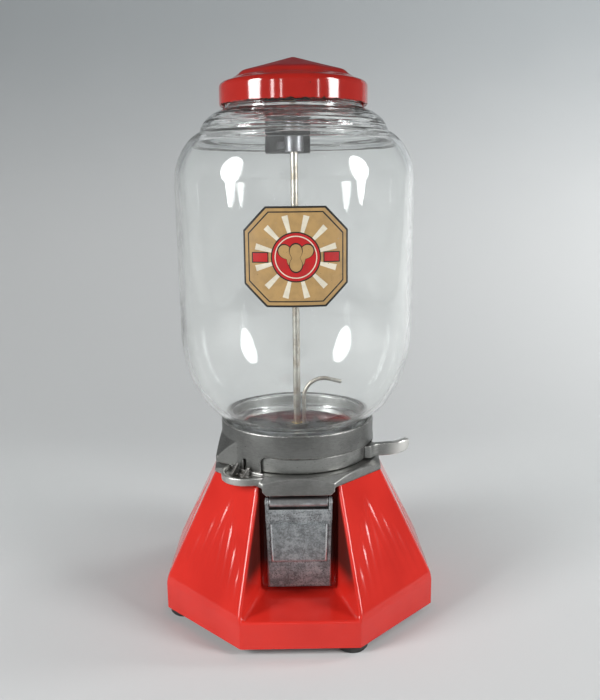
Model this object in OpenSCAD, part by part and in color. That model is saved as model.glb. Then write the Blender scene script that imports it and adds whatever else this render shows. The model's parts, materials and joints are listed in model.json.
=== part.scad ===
// Counter-top peanut vending machine
// Millimetres, +Z up, front towards -Y, origin on the table under the middle of the base

/* [Base shell] */
// Width across the flats of the skirt
base_af = 175; // [168:1:182]
// Width across the flats where the slope meets the casting
base_top_af = 109; // [107:0.5:111]
// Height of the upright skirt
skirt_h = 20; // [18:0.5:23]
// Height of the sloped faces
slope_h = 69; // [65:1:74]
// Radius that rounds the skirt into the slope
shoulder_r = 22; // [10:1:30]
// How far the skirt's corners are drawn in
skirt_corner_cut = 2; // [1.6:0.1:2.6]
// How far the corners of the slope are drawn in
slope_corner_cut = 1.5; // [1:0.1:1.8]
// Thickness of the shell
shell_wall = 2.5; // [2:0.1:3]
// Thickness of the flange round the top opening
flange_t = 2.5; // [2:0.1:3]
// Distance from the axis to the back wall of the hand recess
recess_back = 47; // [46:0.5:49]
// Half width of the recess at its back wall
recess_half_w = 23.5; // [23:0.1:25]
// How far the recess walls open out towards the front, in degrees
recess_flare = 15; // [12:0.5:18]
// Depth of the recess floor below the top of the skirt, at the front
floor_drop = 3.5; // [2:0.5:5]
// How much the recess floor rises to the back
floor_rise = 2; // [0:0.5:3]
// Thickness of the inside pads that take the foot screws
pad_h = 9; // [8:0.5:10]

/* [Flutes] */
// Flutes in each of the two groups on a face
flute_count = 4; // [2:1:4]
// Distance from one flute to the next
flute_pitch = 6.5; // [5:0.1:7]
// Distance from the middle of a face to its first flute
flute_start = 9; // [8:0.1:10]
// Radius of the flute's cutter
flute_r = 6; // [5:0.1:8]
// Depth of a flute at its foot
flute_depth = 1.1; // [0.6:0.1:1.4]

/* [Feet and bottom plate] */
// Height of the skirt above the table
foot_h = 5; // [4:0.5:7]
// Diameter of a rubber foot
foot_d = 19.5; // [16:0.5:20]
// Distance from a corner of the skirt to the middle of the foot under it
foot_inset = 12.21; // [11.7:0.01:13.7]
// Thickness of the bottom plate
plate_t = 1.5; // [1:0.1:2]
// How far the plate sits up inside the skirt
plate_inset = 1; // [0.5:0.1:2]

/* [Top casting] */
// Width across the flats of the casting
cast_af = 109.2; // [108:0.2:111]
// Height of the casting above the shell
cast_t = 6.6; // [6:0.2:8]
// Thickness of the casting's plate inside its rim
cast_plate_t = 4; // [3.5:0.1:5]
// Radius where the corner bevel of the casting starts
bevel_r = 53.6; // [53:0.1:54.2]
// Slope of that bevel, in degrees
bevel_angle = 36; // [30:1:40]
// Height of the spigot that centres the casting in the shell
spigot_h = 4; // [3:0.5:5]
// Wall of the spigot
spigot_wall = 2.7; // [2:0.1:3]
// How far the front apron hangs down
apron_drop = 5; // [4:0.5:6]
// Thickness of the apron
apron_t = 3.6; // [3:0.1:4]
// Radius of the boss that carries the wheel
boss_r = 11.5; // [11:0.1:12]
// Depth of that boss under the plate
boss_h = 9; // [7:0.5:10]

/* [Coin entry] */
// Direction of the coin notch, in degrees from +X
coin_az = -132; // [-136:1:-130]
// Width of the coin notch
coin_gap = 2.4; // [1.6:0.1:2.6]
// Height of the coin notch in the collar
coin_notch_h = 7; // [6:0.5:10]
// Radius of the round coin shelf
shelf_r = 17; // [15:0.5:18]
// Distance from the axis to the middle of the shelf
shelf_reach = 49; // [47:0.5:50]
// Thickness of the shelf
shelf_t = 4.6; // [4:0.1:5]
// Depth of the shelf's tray below its rim
tray_depth = 1.9; // [1:0.1:2.4]
// Width of the rim round the tray
tray_rim = 2.4; // [1.5:0.1:3]
// Length of the coin well in the tray
well_l = 12; // [10:0.5:13]
// Width of the coin well
well_w = 6.5; // [5:0.5:7]

/* [Collar] */
// Outside radius of the collar
collar_r = 51; // [50.5:0.1:51.5]
// Wall of the collar
collar_wall = 2.3; // [2:0.1:2.6]
// Height of the collar above the casting
collar_h = 25.4; // [24:0.2:28]
// Thickness of the lip that carries the cut-off plate
lip_t = 2; // [1.6:0.1:2.4]
// Width of the ledge that the globe's gasket sits on
ledge_w = 4; // [3.5:0.1:4.5]
// Width of the lip under the cut-off plate
lip_w = 4.8; // [4.4:0.1:5.2]
// Left end of the lever window, in degrees from +X
window_from = -118; // [-119:1:-117]
// Right end of the lever window, in degrees from +X
window_to = -10; // [-11:1:-8]
// Radius of the window's upper left corner
window_r = 4.5; // [3:0.5:5]
// Reach of a mounting ear beyond the collar
ear_reach = 8; // [7.5:0.1:8.5]
// Height of a mounting ear
ear_h = 19; // [17:0.5:21]
// Spread of a mounting ear round the collar, in degrees
ear_span = 48; // [44:1:48]

/* [Drive ring and wheel] */
// Height of the drive ring
ring_h = 9.9; // [9.5:0.1:10.5]
// Wall of the drive ring
ring_wall = 4.4; // [4:0.1:5]
// Width of the flange inside the ring
ring_flange_w = 6; // [5.5:0.1:6.5]
// Thickness of that flange
ring_flange_t = 3; // [2.5:0.1:3.5]
// Direction of the lever at rest, in degrees from +X
lever_az = -22; // [-24:1:-20]
// Sweep of the lever, in degrees
lever_sweep = 86; // [80:1:88]
// Lean of the lever behind the radius, in degrees
lever_lean = 30; // [24:1:34]
// Length of the lever's straight part, from inside the ring
lever_l = 22; // [18:0.5:24]
// Thickness of the lever
lever_t = 4.6; // [4:0.1:5.2]
// Height of the lever
lever_h = 8.5; // [7.5:0.1:9]
// Radius of the bend at the lever's tip
tip_r = 14; // [10:0.5:18]
// Turn of that bend, in degrees
tip_turn = 36; // [20:1:45]
// How far the lever's underside lifts at its tip
tip_lift = 4.5; // [3:0.1:5]
// How far the lever's top rises at its tip
tip_rise = 1.4; // [0.5:0.1:2]
// Rounding of the tip's upper corner
tip_round = 1.9; // [1:0.1:2.4]
// Radius from the axis to the middle of the nut pocket
pocket_reach = 27.5; // [26.5:0.1:28]
// Radius of the pocket's round ends
pocket_r = 9; // [8:0.1:9.4]
// Angle between the pocket's round ends, in degrees
pocket_span = 24; // [16:1:26]
// Radius of the wheel's hub
hub_r = 8; // [7.6:0.1:8.4]
// Height of the hub above the wheel
hub_up = 7; // [6:0.5:9]
// Radius outside the hub's bush
bush_r = 3.8; // [3.4:0.1:3.9]

/* [Cut-off] */
// Thickness of the cut-off plate
cutoff_t = 1.5; // [1.4:0.1:2]
// Width of the brush
brush_w = 4; // [3:0.1:5]
// Direction of the brush, in degrees from +X
brush_az = -50; // [-54:1:-48]
// Height of the brush's hood
hood_h = 6; // [5:0.5:8]
// Thickness of the hood's sheet
hood_t = 1; // [0.8:0.1:1.2]

/* [Rod and agitator] */
// Diameter of the tie rod
rod_d = 4.8; // [4.4:0.1:5]
// Diameter of the agitator's wire
wire_d = 2.6; // [2:0.1:2.8]
// Height of the agitator's bend above the hub
agitator_up = 34; // [30:1:38]
// Radius of the agitator's bend
agitator_bend = 13; // [10:0.5:15]
// Reach of the agitator's arm
agitator_reach = 24; // [18:1:28]

/* [Nut chute and flap] */
// Half width outside the chute
chute_half_w = 18.5; // [18:0.1:18.8]
// Thickness of the chute's sheet
chute_t = 1.2; // [1:0.1:1.4]
// Half width of the flap at its top
flap_half_w = 21; // [20.6:0.1:21.4]
// How much narrower each side of the flap is at its foot
flap_taper = 1.7; // [0:0.1:2]
// Height of the flap's plate
flap_h = 51.8; // [46:0.2:53]
// Thickness of the flap's plate
flap_t = 1.8; // [1.4:0.1:2]
// Diameter of the flap's hinge pin
flap_pin_d = 2.5; // [2:0.1:3]
// Radius of the flap's ears
flap_ear_r = 3.2; // [2.8:0.1:3.3]
// Thickness of the flap's ears
flap_ear_t = 2.1; // [1.8:0.1:2.3]
// Height of the raised panel on the flap
panel_h = 24; // [20:1:26]
// How far that panel stands out
panel_out = 0.8; // [0.4:0.1:1]

/* [Globe] */
// Greatest radius of the globe
globe_r = 76; // [74:0.5:78]
// Height of the globe
globe_h = 220.7; // [214:0.1:230]
// Thickness of the glass
glass_t = 3.2; // [2.6:0.1:3.6]
// Gap between the globe's foot and the collar round it
globe_foot_gap = 1.2; // [0.7:0.1:2.2]
// Radius of the opening in the globe's foot
throat_r = 37.5; // [37:0.1:38.5]
// Outside radius of the globe's mouth
mouth_r = 43.2; // [42:0.1:44]
// Radius of the crease above the globe's shoulder
crease_r = 60; // [58:0.5:62]
// Thickness of the globe's gasket
gasket_t = 1.5; // [1:0.1:2]

/* [Lid] */
// Thickness of the lid's sheet
lid_wall = 1.6; // [1.2:0.1:2]
// Height of the lid
lid_h = 29.4; // [28:0.2:32]
// How far the lid's skirt comes down over the mouth
lid_cover = 12; // [10:0.5:13]
// Half width of the lid's eight-sided peak at its foot
peak_half_w = 34.2; // [33:0.1:35]
// Height of the peak's upright band
peak_band = 4.2; // [3.5:0.1:5]
// Thickness of the lid's gasket
lid_gasket_t = 1.6; // [1.2:0.1:2]

/* [Lid lock] */
// Width of the lock's case
case_w = 29; // [26:0.5:30]
// Depth of the lock's case
case_d = 14; // [13.5:0.1:15]
// How far the case hangs below the lid's seat
case_h = 39; // [36:0.5:42]
// Diameter of the key plug
plug_d = 11; // [10:0.2:11.4]
// Travel of the bolt
bolt_travel = 3.6; // [3.4:0.1:4]
// Width of the bolt
bolt_w = 13; // [12.6:0.2:14]
// Height of the bolt
bolt_h = 5; // [4.5:0.1:5.5]
// Radius of the keeper on the rod
keeper_r = 6; // [5.6:0.1:6.2]

/* [Cash tray] */
// Width of the cash tray
tray_w = 90; // [80:1:94]
// Depth of the cash tray
tray_d = 54; // [46:1:56]
// Height of the cash tray
tray_h = 24; // [18:1:28]
// Thickness of the tray's sheet
tray_t = 1; // [0.8:0.1:1.4]

/* [Clearances] */
// Gap between faces that move past each other
run_gap = 0.3; // [0.25:0.05:0.4]
// Radial clearance of a turning fit
turn_gap = 0.05; // [0.03:0.01:0.08]
// Gap round a piece that is only put in place
seat_gap = 0.2; // [0.1:0.05:0.3]

/* [Hidden] */
$fn = 96;

// Spare length that takes a cut clear of the face it opens
spare = 1;
big = 400;

// Levels, from the table up
z_plate = foot_h + plate_inset;
z_plate_top = z_plate + plate_t;
z_skirt = foot_h + skirt_h;
z_shell = z_skirt + slope_h;
z_flange = z_shell - flange_t;
z_cast = z_shell + cast_t;
z_cast_under = z_cast - cast_plate_t;
z_ring = z_cast + run_gap;
z_ring_top = z_ring + ring_h;
z_lip = z_ring_top + run_gap;
z_cutoff = z_lip + lip_t;
z_ledge = z_cutoff + cutoff_t;
z_globe = z_ledge + gasket_t;
z_collar = z_cast + collar_h;
z_mouth = z_globe + globe_h;
z_lid_gasket = z_mouth + seat_gap;
z_lid_seat = z_lid_gasket + lid_gasket_t;
z_lid = z_lid_seat - lid_cover;
z_top = z_lid + lid_h;

// Casting, which always stands out beyond the collar, and the shell's top under it
cast_margin = 3.5;
cast_lap = 0.2;
cast_half_w = max(cast_af / 2, collar_r + cast_margin);
bevel_start = bevel_r + cast_half_w - cast_af / 2;
top_half_w = max(base_top_af / 2, cast_half_w - cast_lap);

// Base
shell_half_w = base_af / 2;
slope_angle = atan((shell_half_w - top_half_w) / slope_h);
slope_wall = shell_wall / cos(slope_angle);
flange_w = 8.7;
shell_mouth_r = top_half_w - slope_wall - flange_w;
spigot_r = shell_mouth_r - run_gap;
spigot_in = spigot_r - spigot_wall;
foot_az = [22.5, 112.5, 202.5, 292.5];
foot_circle = shell_half_w / cos(22.5) - foot_inset;
foot_screw_r = 1.95;
foot_neck_r = 6;
pad_r = 5;
floor_z = z_skirt - floor_drop;

// Collar and its ears
collar_in = collar_r - collar_wall;
lip_in = collar_in - ledge_w - lip_w;
cutoff_r = collar_in - ledge_w - seat_gap;
globe_foot_r = collar_in - globe_foot_gap;
ear_az = [22.5, 112.5, 202.5];
ear_screw_out = 2.1;
ear_screw_reach = collar_r + ear_screw_out;
ear_screw_r = 1.75;
ear_screw_head_r = 2.6;
ear_screw_depth = 7;
ear_blunt = 1;
ear_rise = 2.2;

// Ring and wheel
ring_r = collar_in - run_gap;
ring_in = ring_r - ring_wall;
ring_flange_in = ring_in - ring_flange_w;
coin_bite = 3;
wheel_screw_reach = ring_in - ring_flange_w / 2;
wheel_screw_r = 1.2;
hub_down = cast_plate_t + boss_h + 6;
hub_top = z_ring_top + hub_up;
hub_foot = z_cast - hub_down;
clip_r = 14.5;
clip_h = 4.6;
rod_r = rod_d / 2;
wire_r = wire_d / 2;
wire_reach = (bush_r + hub_r) / 2 - 0.2;
wire_az = -33;

// How much wider a hole is than what drops through it, and a groove than its nose
drop_gap = 0.8;

// Cut-off opening and brush
fill_from = -32;
fill_to = 38;
fill_in = 16;
fill_out = lip_in - 1.5;
brush_from = 17;
brush_to = 36;
hood_out = 2;
cutoff_screw_az = [80, 170, 260];
cutoff_screw_reach = lip_in + lip_w / 2;
cutoff_screw_r = 1.1;

// Coin pawl under the casting
pawl_az = 60;
pawl_reach = 32;
pawl_t = 3;
pawl_arm = 12;
pawl_drop = 8.6;
pawl_nose_w = 5;
pawl_pin_r = 1.5;
pawl_lift = 3.2;
pawl_groove_more = 26;
pawl_ear_t = 2.5;
pawl_eye_r = 3;
pawl_pin_half_l = pawl_t / 2 + run_gap + pawl_ear_t;
coin_drop_az = coin_az - lever_sweep;
coin_drop_from = 24;
coin_drop_to = 38;
guide_h = 34;
guide_half_w = 4;
guide_t = 1.2;
guide_in = 1.5;
guide_out = 1;
coin_slot_half_w = 2;

// Flap, its frame and the chute
flap_out = 6.6;
flap_front = recess_back + flap_out;
flap_drop = 12.2;
flap_z = z_cast - apron_drop - flap_drop;
ear_gap = 0.4;
hinge_y = -(recess_back + flap_ear_r + ear_gap);
barrel_r = 3;
hinge_up = 4.1;
flap_top = flap_z - hinge_up;
panel_drop = 9.5;
panel_top = flap_top - panel_drop;
panel_inset = 3;
panel_foot_inset = 3.8;
ear_down = 7;
ear_deep = 1.4;
flap_foot = flap_top - flap_h;
barrel_half_w = flap_half_w - flap_ear_t - run_gap - 0.2;
frame_t = 1.5;
frame_in = chute_half_w - chute_t;
frame_rim = 2;
frame_side = 3;
frame_under = 5;
frame_over = 1.5;
frame_up = 6;
frame_out = frame_in + frame_rim;
frame_low = floor_z + floor_rise + frame_up;
frame_high = flap_top - frame_over;
chute_back = 16.5;
chute_front_top = 38.3;
chute_front = recess_back - shell_wall - 1.7;
chute_top = z_cast_under - run_gap;
chute_tab = 6;
chute_gap = 0.5;

// Globe profile, heights above its foot
bowl_z = 70;
bowl_x = 34;
bowl_in = 0.5;
bowl_rx = globe_r - bowl_in - bowl_x;
bowl_rz = 62;
side_z = 90;
shoulder_x = 50;
shoulder_down = 56.8;
shoulder_z = globe_h - shoulder_down;
shoulder_rx = globe_r - shoulder_x;
shoulder_rz = 33;
dome_x = 36;
dome_down = 28.8;
dome_z = globe_h - dome_down;
crease_in = 0.4;
dome_rx = crease_r - crease_in - dome_x;
dome_rz = 17.5;
lip_glass = 3.6;
lip_slope = 1;

// Lid and lock
lid_r = mouth_r + 1.6 + lid_wall;
lid_in = lid_r - lid_wall;
lid_round = 2.4;
peak_z = z_lid + lid_h - 13.8;
lock_x = -4;
lock_y = keeper_r + 1.2 + case_d / 2;
case_back_t = 1;
bolt_back = lock_y + case_d / 2 - case_back_t;
case_foot = z_lid_seat - case_h;
bolt_z = case_foot + 2.5;
bolt_tip = keeper_r + 1.5;
keeper_flat = bolt_tip - bolt_travel - 0.3;
crank_pin_r = 1.4;
bolt_gap = 0.4;
rod_top = case_foot + 14;

// Points on an ellipse, from one angle to another
function ellipse(c, rx, rz, from, to, n) =
    [for (i = [0:n]) let (t = from + (to - from) * i / n) [c[0] + rx * cos(t), c[1] + rz * sin(t)]];

// Place something at a radius, a direction and a height
module at(reach, az, z = 0) { rotate(az) translate([reach, 0, z]) children(); }

// Upright round bar between two levels
module bar(r, z0, z1) { translate([0, 0, z0]) cylinder(h = z1 - z0, r = r); }

// Upright ring between two levels
module ring(r_out, r_in, z0, z1) {
    difference() {
        bar(r_out, z0, z1);
        bar(r_in, z0 - spare, z1 + spare);
    }
}

// Round bar between two points
module strut(p, q, r) {
    d = q - p;
    translate(p)
        rotate([0, acos(d[2] / norm(d)), atan2(d[1], d[0])])
            cylinder(h = norm(d), r = r);
}

// Outline in Y and Z, drawn out along X
module along_x(w) { rotate([90, 0, 90]) linear_extrude(height = w, center = true) children(); }

// Box from its lowest corner to its highest
module block(p, q) { translate(p) cube(q - p); }

// Wedge about the axis between two directions
module wedge(from, to, z0, z1, reach = 90) {
    steps = ceil((to - from) / 30);
    translate([0, 0, z0])
        linear_extrude(height = z1 - z0)
            polygon(concat([[0, 0]],
                [for (i = [0:steps]) let (t = from + (to - from) * i / steps)
                    [reach * cos(t), reach * sin(t)]]));
}

// Upright slot with round ends, bent round the axis
module bent_slot(reach, r, az, span, z0, z1) {
    end_r = r - 0.02;
    for (side = [-1, 1]) at(reach, az + side * span / 2) bar(end_r, z0, z1);
    rotate(az - span / 2)
        rotate_extrude(angle = span) translate([reach - r, z0]) square([2 * r, z1 - z0]);
}

// Eight-sided solid from its half outline, given as half width and height from the bottom up
module eight_sided(outline) {
    top = len(outline) - 1;
    left = [for (i = [top:-1:0]) if (outline[i][0] > 0) [-outline[i][0], outline[i][1]]];
    intersection_for (turn = [0:45:135])
        rotate(turn) rotate([90, 0, 0])
            linear_extrude(height = big, center = true) polygon(concat(outline, left));
}

// Screw that points up, its head's seat at z = 0
module screw(head_r, head_h, shaft_r, shaft_l) {
    bar(head_r, -head_h, 0);
    bar(shaft_r, -0.01, shaft_l);
}

// Outline of the outer shell
shoulder_c = [shell_half_w - shoulder_r, z_skirt - shoulder_r * tan(slope_angle / 2)];
shell_outline = concat(
    [[shell_half_w, foot_h]],
    ellipse(shoulder_c, shoulder_r, shoulder_r, 0, slope_angle, 4),
    [[top_half_w, z_shell]]
);
skirt_hollow = [
    [shell_half_w - shell_wall, foot_h - spare],
    [shell_half_w - shell_wall, z_skirt + 0.5]
];
slope_hollow = [
    [shell_half_w - slope_wall, z_skirt],
    [top_half_w - slope_wall + flange_t * tan(slope_angle), z_flange]
];

// Turned solid that takes the points off the shell's corners, drawn in by the wall
module corner_turn(skirt_inset, slope_inset) {
    skirt_corner = shell_half_w / cos(22.5);
    fall = tan(slope_angle) / cos(22.5);
    skirt_r = skirt_corner - skirt_corner_cut - skirt_inset;
    slope_r = skirt_corner - slope_corner_cut - slope_inset;
    z_turn = z_skirt + (slope_r - skirt_r) / fall;
    rotate_extrude()
        polygon([
            [0, foot_h - 2 * spare],
            [skirt_r, foot_h - 2 * spare],
            [skirt_r, z_turn],
            [slope_r - (z_shell + spare - z_skirt) * fall, z_shell + spare],
            [0, z_shell + spare]
        ]);
}

// Space of the hand recess, grown by a wall
module recess(grow) {
    back = recess_back - grow;
    reach = shell_half_w + 10;
    side = grow / cos(recess_flare);
    back_w = recess_half_w + side - grow * tan(recess_flare);
    front_w = recess_half_w + side + (reach - recess_back) * tan(recess_flare);
    fall = floor_rise / (shell_half_w - recess_back);
    intersection() {
        linear_extrude(height = z_shell + spare)
            polygon([[-back_w, -back], [back_w, -back], [front_w, -reach], [-front_w, -reach]]);
        along_x(big)
            polygon([
                [-reach, floor_z - grow - (reach - shell_half_w) * fall],
                [-back, floor_z - grow + (shell_half_w - back) * fall],
                [-back, z_shell + spare],
                [-reach, z_shell + spare]
            ]);
    }
}

// Pads in four corners of the shell that take the foot screws
pad_lap = 0.1;
module foot_pads() {
    for (az = foot_az)
        at(foot_circle, az) {
            bar(pad_r, z_plate_top, z_plate_top + pad_h);
            block([0, -pad_r + pad_lap, z_plate_top], [foot_inset, pad_r - pad_lap, z_plate_top + pad_h]);
        }
}

// Pointed flutes on one sloped face
module face_flutes() {
    slope_l = slope_h / cos(slope_angle);
    foot_s = -8;
    translate([shell_half_w, 0, z_skirt])
        rotate([0, -slope_angle, 0])
            for (side = [-1, 1], i = [0:flute_count - 1]) {
                rise = 0.88 - 0.155 * i;
                u_foot = flute_start + flute_pitch * i;
                u_top = max(1.5, u_foot - 11 * rise);
                lean = (u_top - u_foot) / (rise * slope_l);
                foot_out = flute_r - flute_depth + foot_s * flute_depth / (rise * slope_l);
                strut([foot_out, side * (u_foot + foot_s * lean), foot_s],
                      [flute_r + 0.05, side * u_top, rise * slope_l], flute_r, $fn = 48);
            }
}

module base_shell() color([0.75, 0.1, 0.08])
    difference() {
        intersection() {
            eight_sided(shell_outline);
            corner_turn(0, 0);
        }
        recess(0);
        difference() {
            intersection() {
                union() {
                    eight_sided(skirt_hollow);
                    eight_sided(slope_hollow);
                }
                corner_turn(shell_wall, slope_wall);
            }
            recess(shell_wall);
            foot_pads();
        }
        bar(shell_mouth_r, z_flange - spare, z_shell + spare);
        block([-frame_out - run_gap, -recess_back - spare, frame_low - frame_rim - run_gap],
              [frame_out + run_gap, -recess_back + shell_wall + spare, frame_high + frame_rim + run_gap]);
        for (az = ear_az)
            at(ear_screw_reach, az) bar(ear_screw_r + seat_gap, z_flange - spare, z_shell + spare);
        for (az = foot_az)
            at(foot_circle, az) bar(foot_screw_r + turn_gap, z_plate, z_plate_top + pad_h - 1);
        for (az = [-45:45:225]) rotate(az) face_flutes();
    }

module bottom_plate() color([0.45, 0.46, 0.48])
    difference() {
        intersection() {
            eight_sided([
                [shell_half_w - shell_wall - run_gap, z_plate],
                [shell_half_w - shell_wall - run_gap, z_plate_top]
            ]);
            corner_turn(shell_wall + run_gap, slope_wall + run_gap);
        }
        bar(rod_r + seat_gap, z_plate - spare, z_plate_top + spare);
        for (az = foot_az)
            at(foot_circle, az) bar(foot_screw_r + seat_gap, z_plate - spare, z_plate_top + spare);
    }

// Level of the seat of a foot screw's head
foot_seat = 2.2;

module rubber_feet() color([0.05, 0.05, 0.05])
    for (az = foot_az)
        at(foot_circle, az)
            rotate_extrude()
                polygon([
                    [foot_screw_r * 2.2, 0],
                    [foot_d / 2 - 0.9, 0],
                    [foot_d / 2, 1.2],
                    [foot_d / 2, foot_h - run_gap],
                    [foot_neck_r, foot_h - run_gap],
                    [foot_neck_r, z_plate],
                    [foot_screw_r + seat_gap, z_plate],
                    [foot_screw_r + seat_gap, foot_seat],
                    [foot_screw_r * 2.2, foot_seat]
                ]);

module foot_screws() color("silver")
    for (az = foot_az)
        at(foot_circle, az, foot_seat)
            screw(foot_screw_r * 2, 1.6, foot_screw_r, z_plate_top + pad_h - foot_seat - 2);

module cash_tray() color([0.5, 0.5, 0.5])
    difference() {
        block([-tray_w / 2, 8, z_plate_top], [tray_w / 2, 8 + tray_d, z_plate_top + tray_h]);
        block([-tray_w / 2 + tray_t, 8 + tray_t, z_plate_top + tray_t],
              [tray_w / 2 - tray_t, 8 + tray_d - tray_t, z_plate_top + tray_h + spare]);
    }

// Coin shelf that stands out at the front left of the casting
shelf_az = coin_az + 1;
shelf_top = z_cast - 0.6;
well_gap = 2;

module shelf_tray() {
    difference() {
        at(shelf_reach, shelf_az) bar(shelf_r - tray_rim, shelf_top - tray_depth, z_cast + spare);
        bar(collar_r + 0.4, shelf_top - tray_depth - spare, z_cast + 2 * spare);
    }
    at(collar_r + well_w / 2 + well_gap, shelf_az, shelf_top - shelf_t + 0.9)
        translate([-well_w / 2, -well_l / 2, 0]) cube([well_w, well_l, shelf_t]);
}

// Eight-sided rim with its corners bevelled by a cone
module cast_rim() {
    run = 20;
    intersection() {
        eight_sided([[cast_half_w, z_shell], [cast_half_w, z_cast]]);
        translate([0, 0, z_cast - run * tan(bevel_angle)])
            cylinder(h = run * tan(bevel_angle), r1 = bevel_start + run, r2 = bevel_start);
    }
}

module apron() {
    half_w = cast_half_w * tan(22.5);
    low = z_shell - apron_drop;
    translate([0, -cast_half_w + apron_t, 0])
        rotate([90, 0, 0])
            linear_extrude(height = apron_t)
                polygon([
                    [-half_w, z_shell + spare], [-half_w, low + 2.6], [-half_w + 2.2, low],
                    [half_w - 2.2, low], [half_w, low + 2.6], [half_w, z_shell + spare]
                ]);
}

// Two ears under the casting that hold the pawl's pin
module pawl_ears() {
    gap = pawl_t / 2 + run_gap;
    rotate(pawl_az)
        for (x = [pawl_reach - gap - pawl_ear_t, pawl_reach + gap])
            block([x, pawl_arm - pawl_eye_r, z_cast - pawl_drop - pawl_eye_r],
                  [x + pawl_ear_t, pawl_arm + pawl_eye_r, z_cast_under + spare]);
}

module top_casting() color([0.62, 0.63, 0.62])
    difference() {
        union() {
            difference() {
                union() {
                    cast_rim();
                    at(shelf_reach, shelf_az) bar(shelf_r, shelf_top - shelf_t, shelf_top);
                }
                bar(spigot_in, z_shell - spare, z_cast_under);
                block([-chute_half_w - chute_gap, -chute_front_top - chute_gap, z_shell - spare],
                      [chute_half_w + chute_gap, -chute_back, z_cast_under]);
            }
            difference() {
                ring(spigot_r, spigot_in, z_shell - spigot_h, z_shell + spare);
                block([-chute_half_w - 4 * chute_gap, -big, z_shell - spigot_h - spare],
                      [chute_half_w + 4 * chute_gap, -chute_back, z_shell + 2 * spare]);
            }
            bar(boss_r, z_cast_under - boss_h, z_cast_under + spare);
            apron();
            pawl_ears();
        }
        bar(hub_r + turn_gap, z_cast_under - boss_h - spare, z_cast + spare);
        bent_slot(pocket_reach, pocket_r + drop_gap, -lever_sweep, pocket_span,
                  z_cast_under - spare, z_cast + spare);
        rotate(coin_drop_az)
            block([coin_drop_from, -coin_slot_half_w, z_cast_under - spare],
                  [coin_drop_to, coin_slot_half_w, z_cast + spare]);
        rotate(pawl_az)
            block([pawl_reach - pawl_t / 2 - run_gap, -pawl_nose_w / 2 - 0.7, z_cast_under - spare],
                  [pawl_reach + pawl_t / 2 + run_gap, pawl_nose_w / 2 + 3.2, z_cast + spare]);
        rotate(pawl_az)
            translate([0, pawl_arm, z_cast - pawl_drop])
                rotate([0, 90, 0]) bar(pawl_pin_r + turn_gap, pawl_reach - 10, pawl_reach + 10);
        for (az = ear_az)
            at(ear_screw_reach, az) bar(ear_screw_r + seat_gap, z_shell - spare, z_cast + spare);
        for (p = chute_screw_points)
            translate(p) bar(chute_screw_r + turn_gap, z_cast_under - spare, z_cast - 0.8);
        shelf_tray();
    }

// Ear that flares out from the collar's wall to a corner of the casting
module collar_ear(az) {
    root = collar_r - collar_wall / 2;
    reach = collar_r + ear_reach;
    side = root * sin(ear_span / 2);
    foot = root * cos(ear_span / 2);
    intersection() {
        rotate(az)
            translate([0, 0, z_cast])
                linear_extrude(height = ear_h)
                    polygon([
                        [foot, -side], [reach - ear_blunt, -ear_blunt], [reach - ear_blunt, ear_blunt],
                        [foot, side]
                    ]);
        rotate_extrude()
            polygon([
                [collar_in + collar_wall / 2, z_cast - spare], [reach, z_cast - spare],
                [reach, z_cast + ear_rise], [root, z_cast + ear_h]
            ]);
    }
}

// Opening in the collar that the lever sweeps through
module lever_window() {
    corner = window_r / collar_r * 180 / PI;
    wedge(window_from + corner, window_to, z_cast - spare, z_lip);
    wedge(window_from, window_from + corner + 1, z_cast - spare, z_lip - window_r);
    rotate(window_from + corner)
        translate([0, 0, z_lip - window_r])
            rotate([0, 90, 0]) bar(window_r - 0.02, collar_in - spare, collar_r + spare);
}

module collar() color([0.66, 0.67, 0.66])
    difference() {
        union() {
            difference() {
                ring(collar_r, collar_in, z_cast, z_collar);
                intersection() {
                    lever_window();
                    ring(collar_r + 5, collar_in - 1, z_cast - spare, z_lip);
                }
            }
            ring(collar_in + 0.5, collar_in - ledge_w, z_lip, z_ledge);
            ring(collar_in + 0.5, lip_in, z_lip, z_cutoff);
            for (az = ear_az) collar_ear(az);
        }
        rotate(coin_az)
            block([collar_in - spare, -coin_gap / 2, z_cast - spare],
                  [collar_r + spare, coin_gap / 2, z_cast + coin_notch_h]);
        for (az = ear_az)
            at(ear_screw_reach, az) bar(ear_screw_r + turn_gap, z_cast - spare, z_cast + ear_screw_depth);
        for (az = cutoff_screw_az)
            at(cutoff_screw_reach, az) bar(cutoff_screw_r + turn_gap, z_lip - spare, z_ledge + spare);
    }

module collar_screws() color("silver")
    for (az = ear_az)
        at(ear_screw_reach, az, z_flange)
            screw(ear_screw_head_r, 3, ear_screw_r, z_cast + ear_screw_depth - 1 - z_flange);

// Plan of the lever, from inside the ring's wall to its bent tip, along +X
fillet_r = 8;
fillet_reach = 11.5;
lever_outline = concat(
    [[0, lever_t / 2]],
    ellipse([lever_l, tip_r], tip_r - lever_t / 2, tip_r - lever_t / 2, -90, tip_turn - 90, 5),
    ellipse([lever_l + tip_r * sin(tip_turn), tip_r - tip_r * cos(tip_turn)],
            lever_t / 2, lever_t / 2, tip_turn + 75, tip_turn - 75, 8),
    ellipse([lever_l, tip_r], tip_r + lever_t / 2, tip_r + lever_t / 2, tip_turn - 90, -90, 5),
    ellipse([fillet_reach, -lever_t / 2 - fillet_r], fillet_r, fillet_r, 90, 150, 5),
    [[0, -lever_t / 2 - fillet_r / 2]]
);

// Side of the lever, with a belly that lifts towards its tip
lever_belly = 9;
tip_x = lever_l + tip_r * sin(tip_turn) + lever_t / 2;
lever_side = concat(
    [[0, 0]],
    ellipse([lever_l - lever_belly, tip_lift], tip_x - lever_l + lever_belly, tip_lift, -90, 0, 6),
    ellipse([tip_x - tip_round, lever_h + tip_rise - tip_round], tip_round, tip_round, 0, 100, 5),
    [[lever_l, lever_h + tip_rise / 5], [lever_l - lever_belly, lever_h], [0, lever_h]]
);

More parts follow.
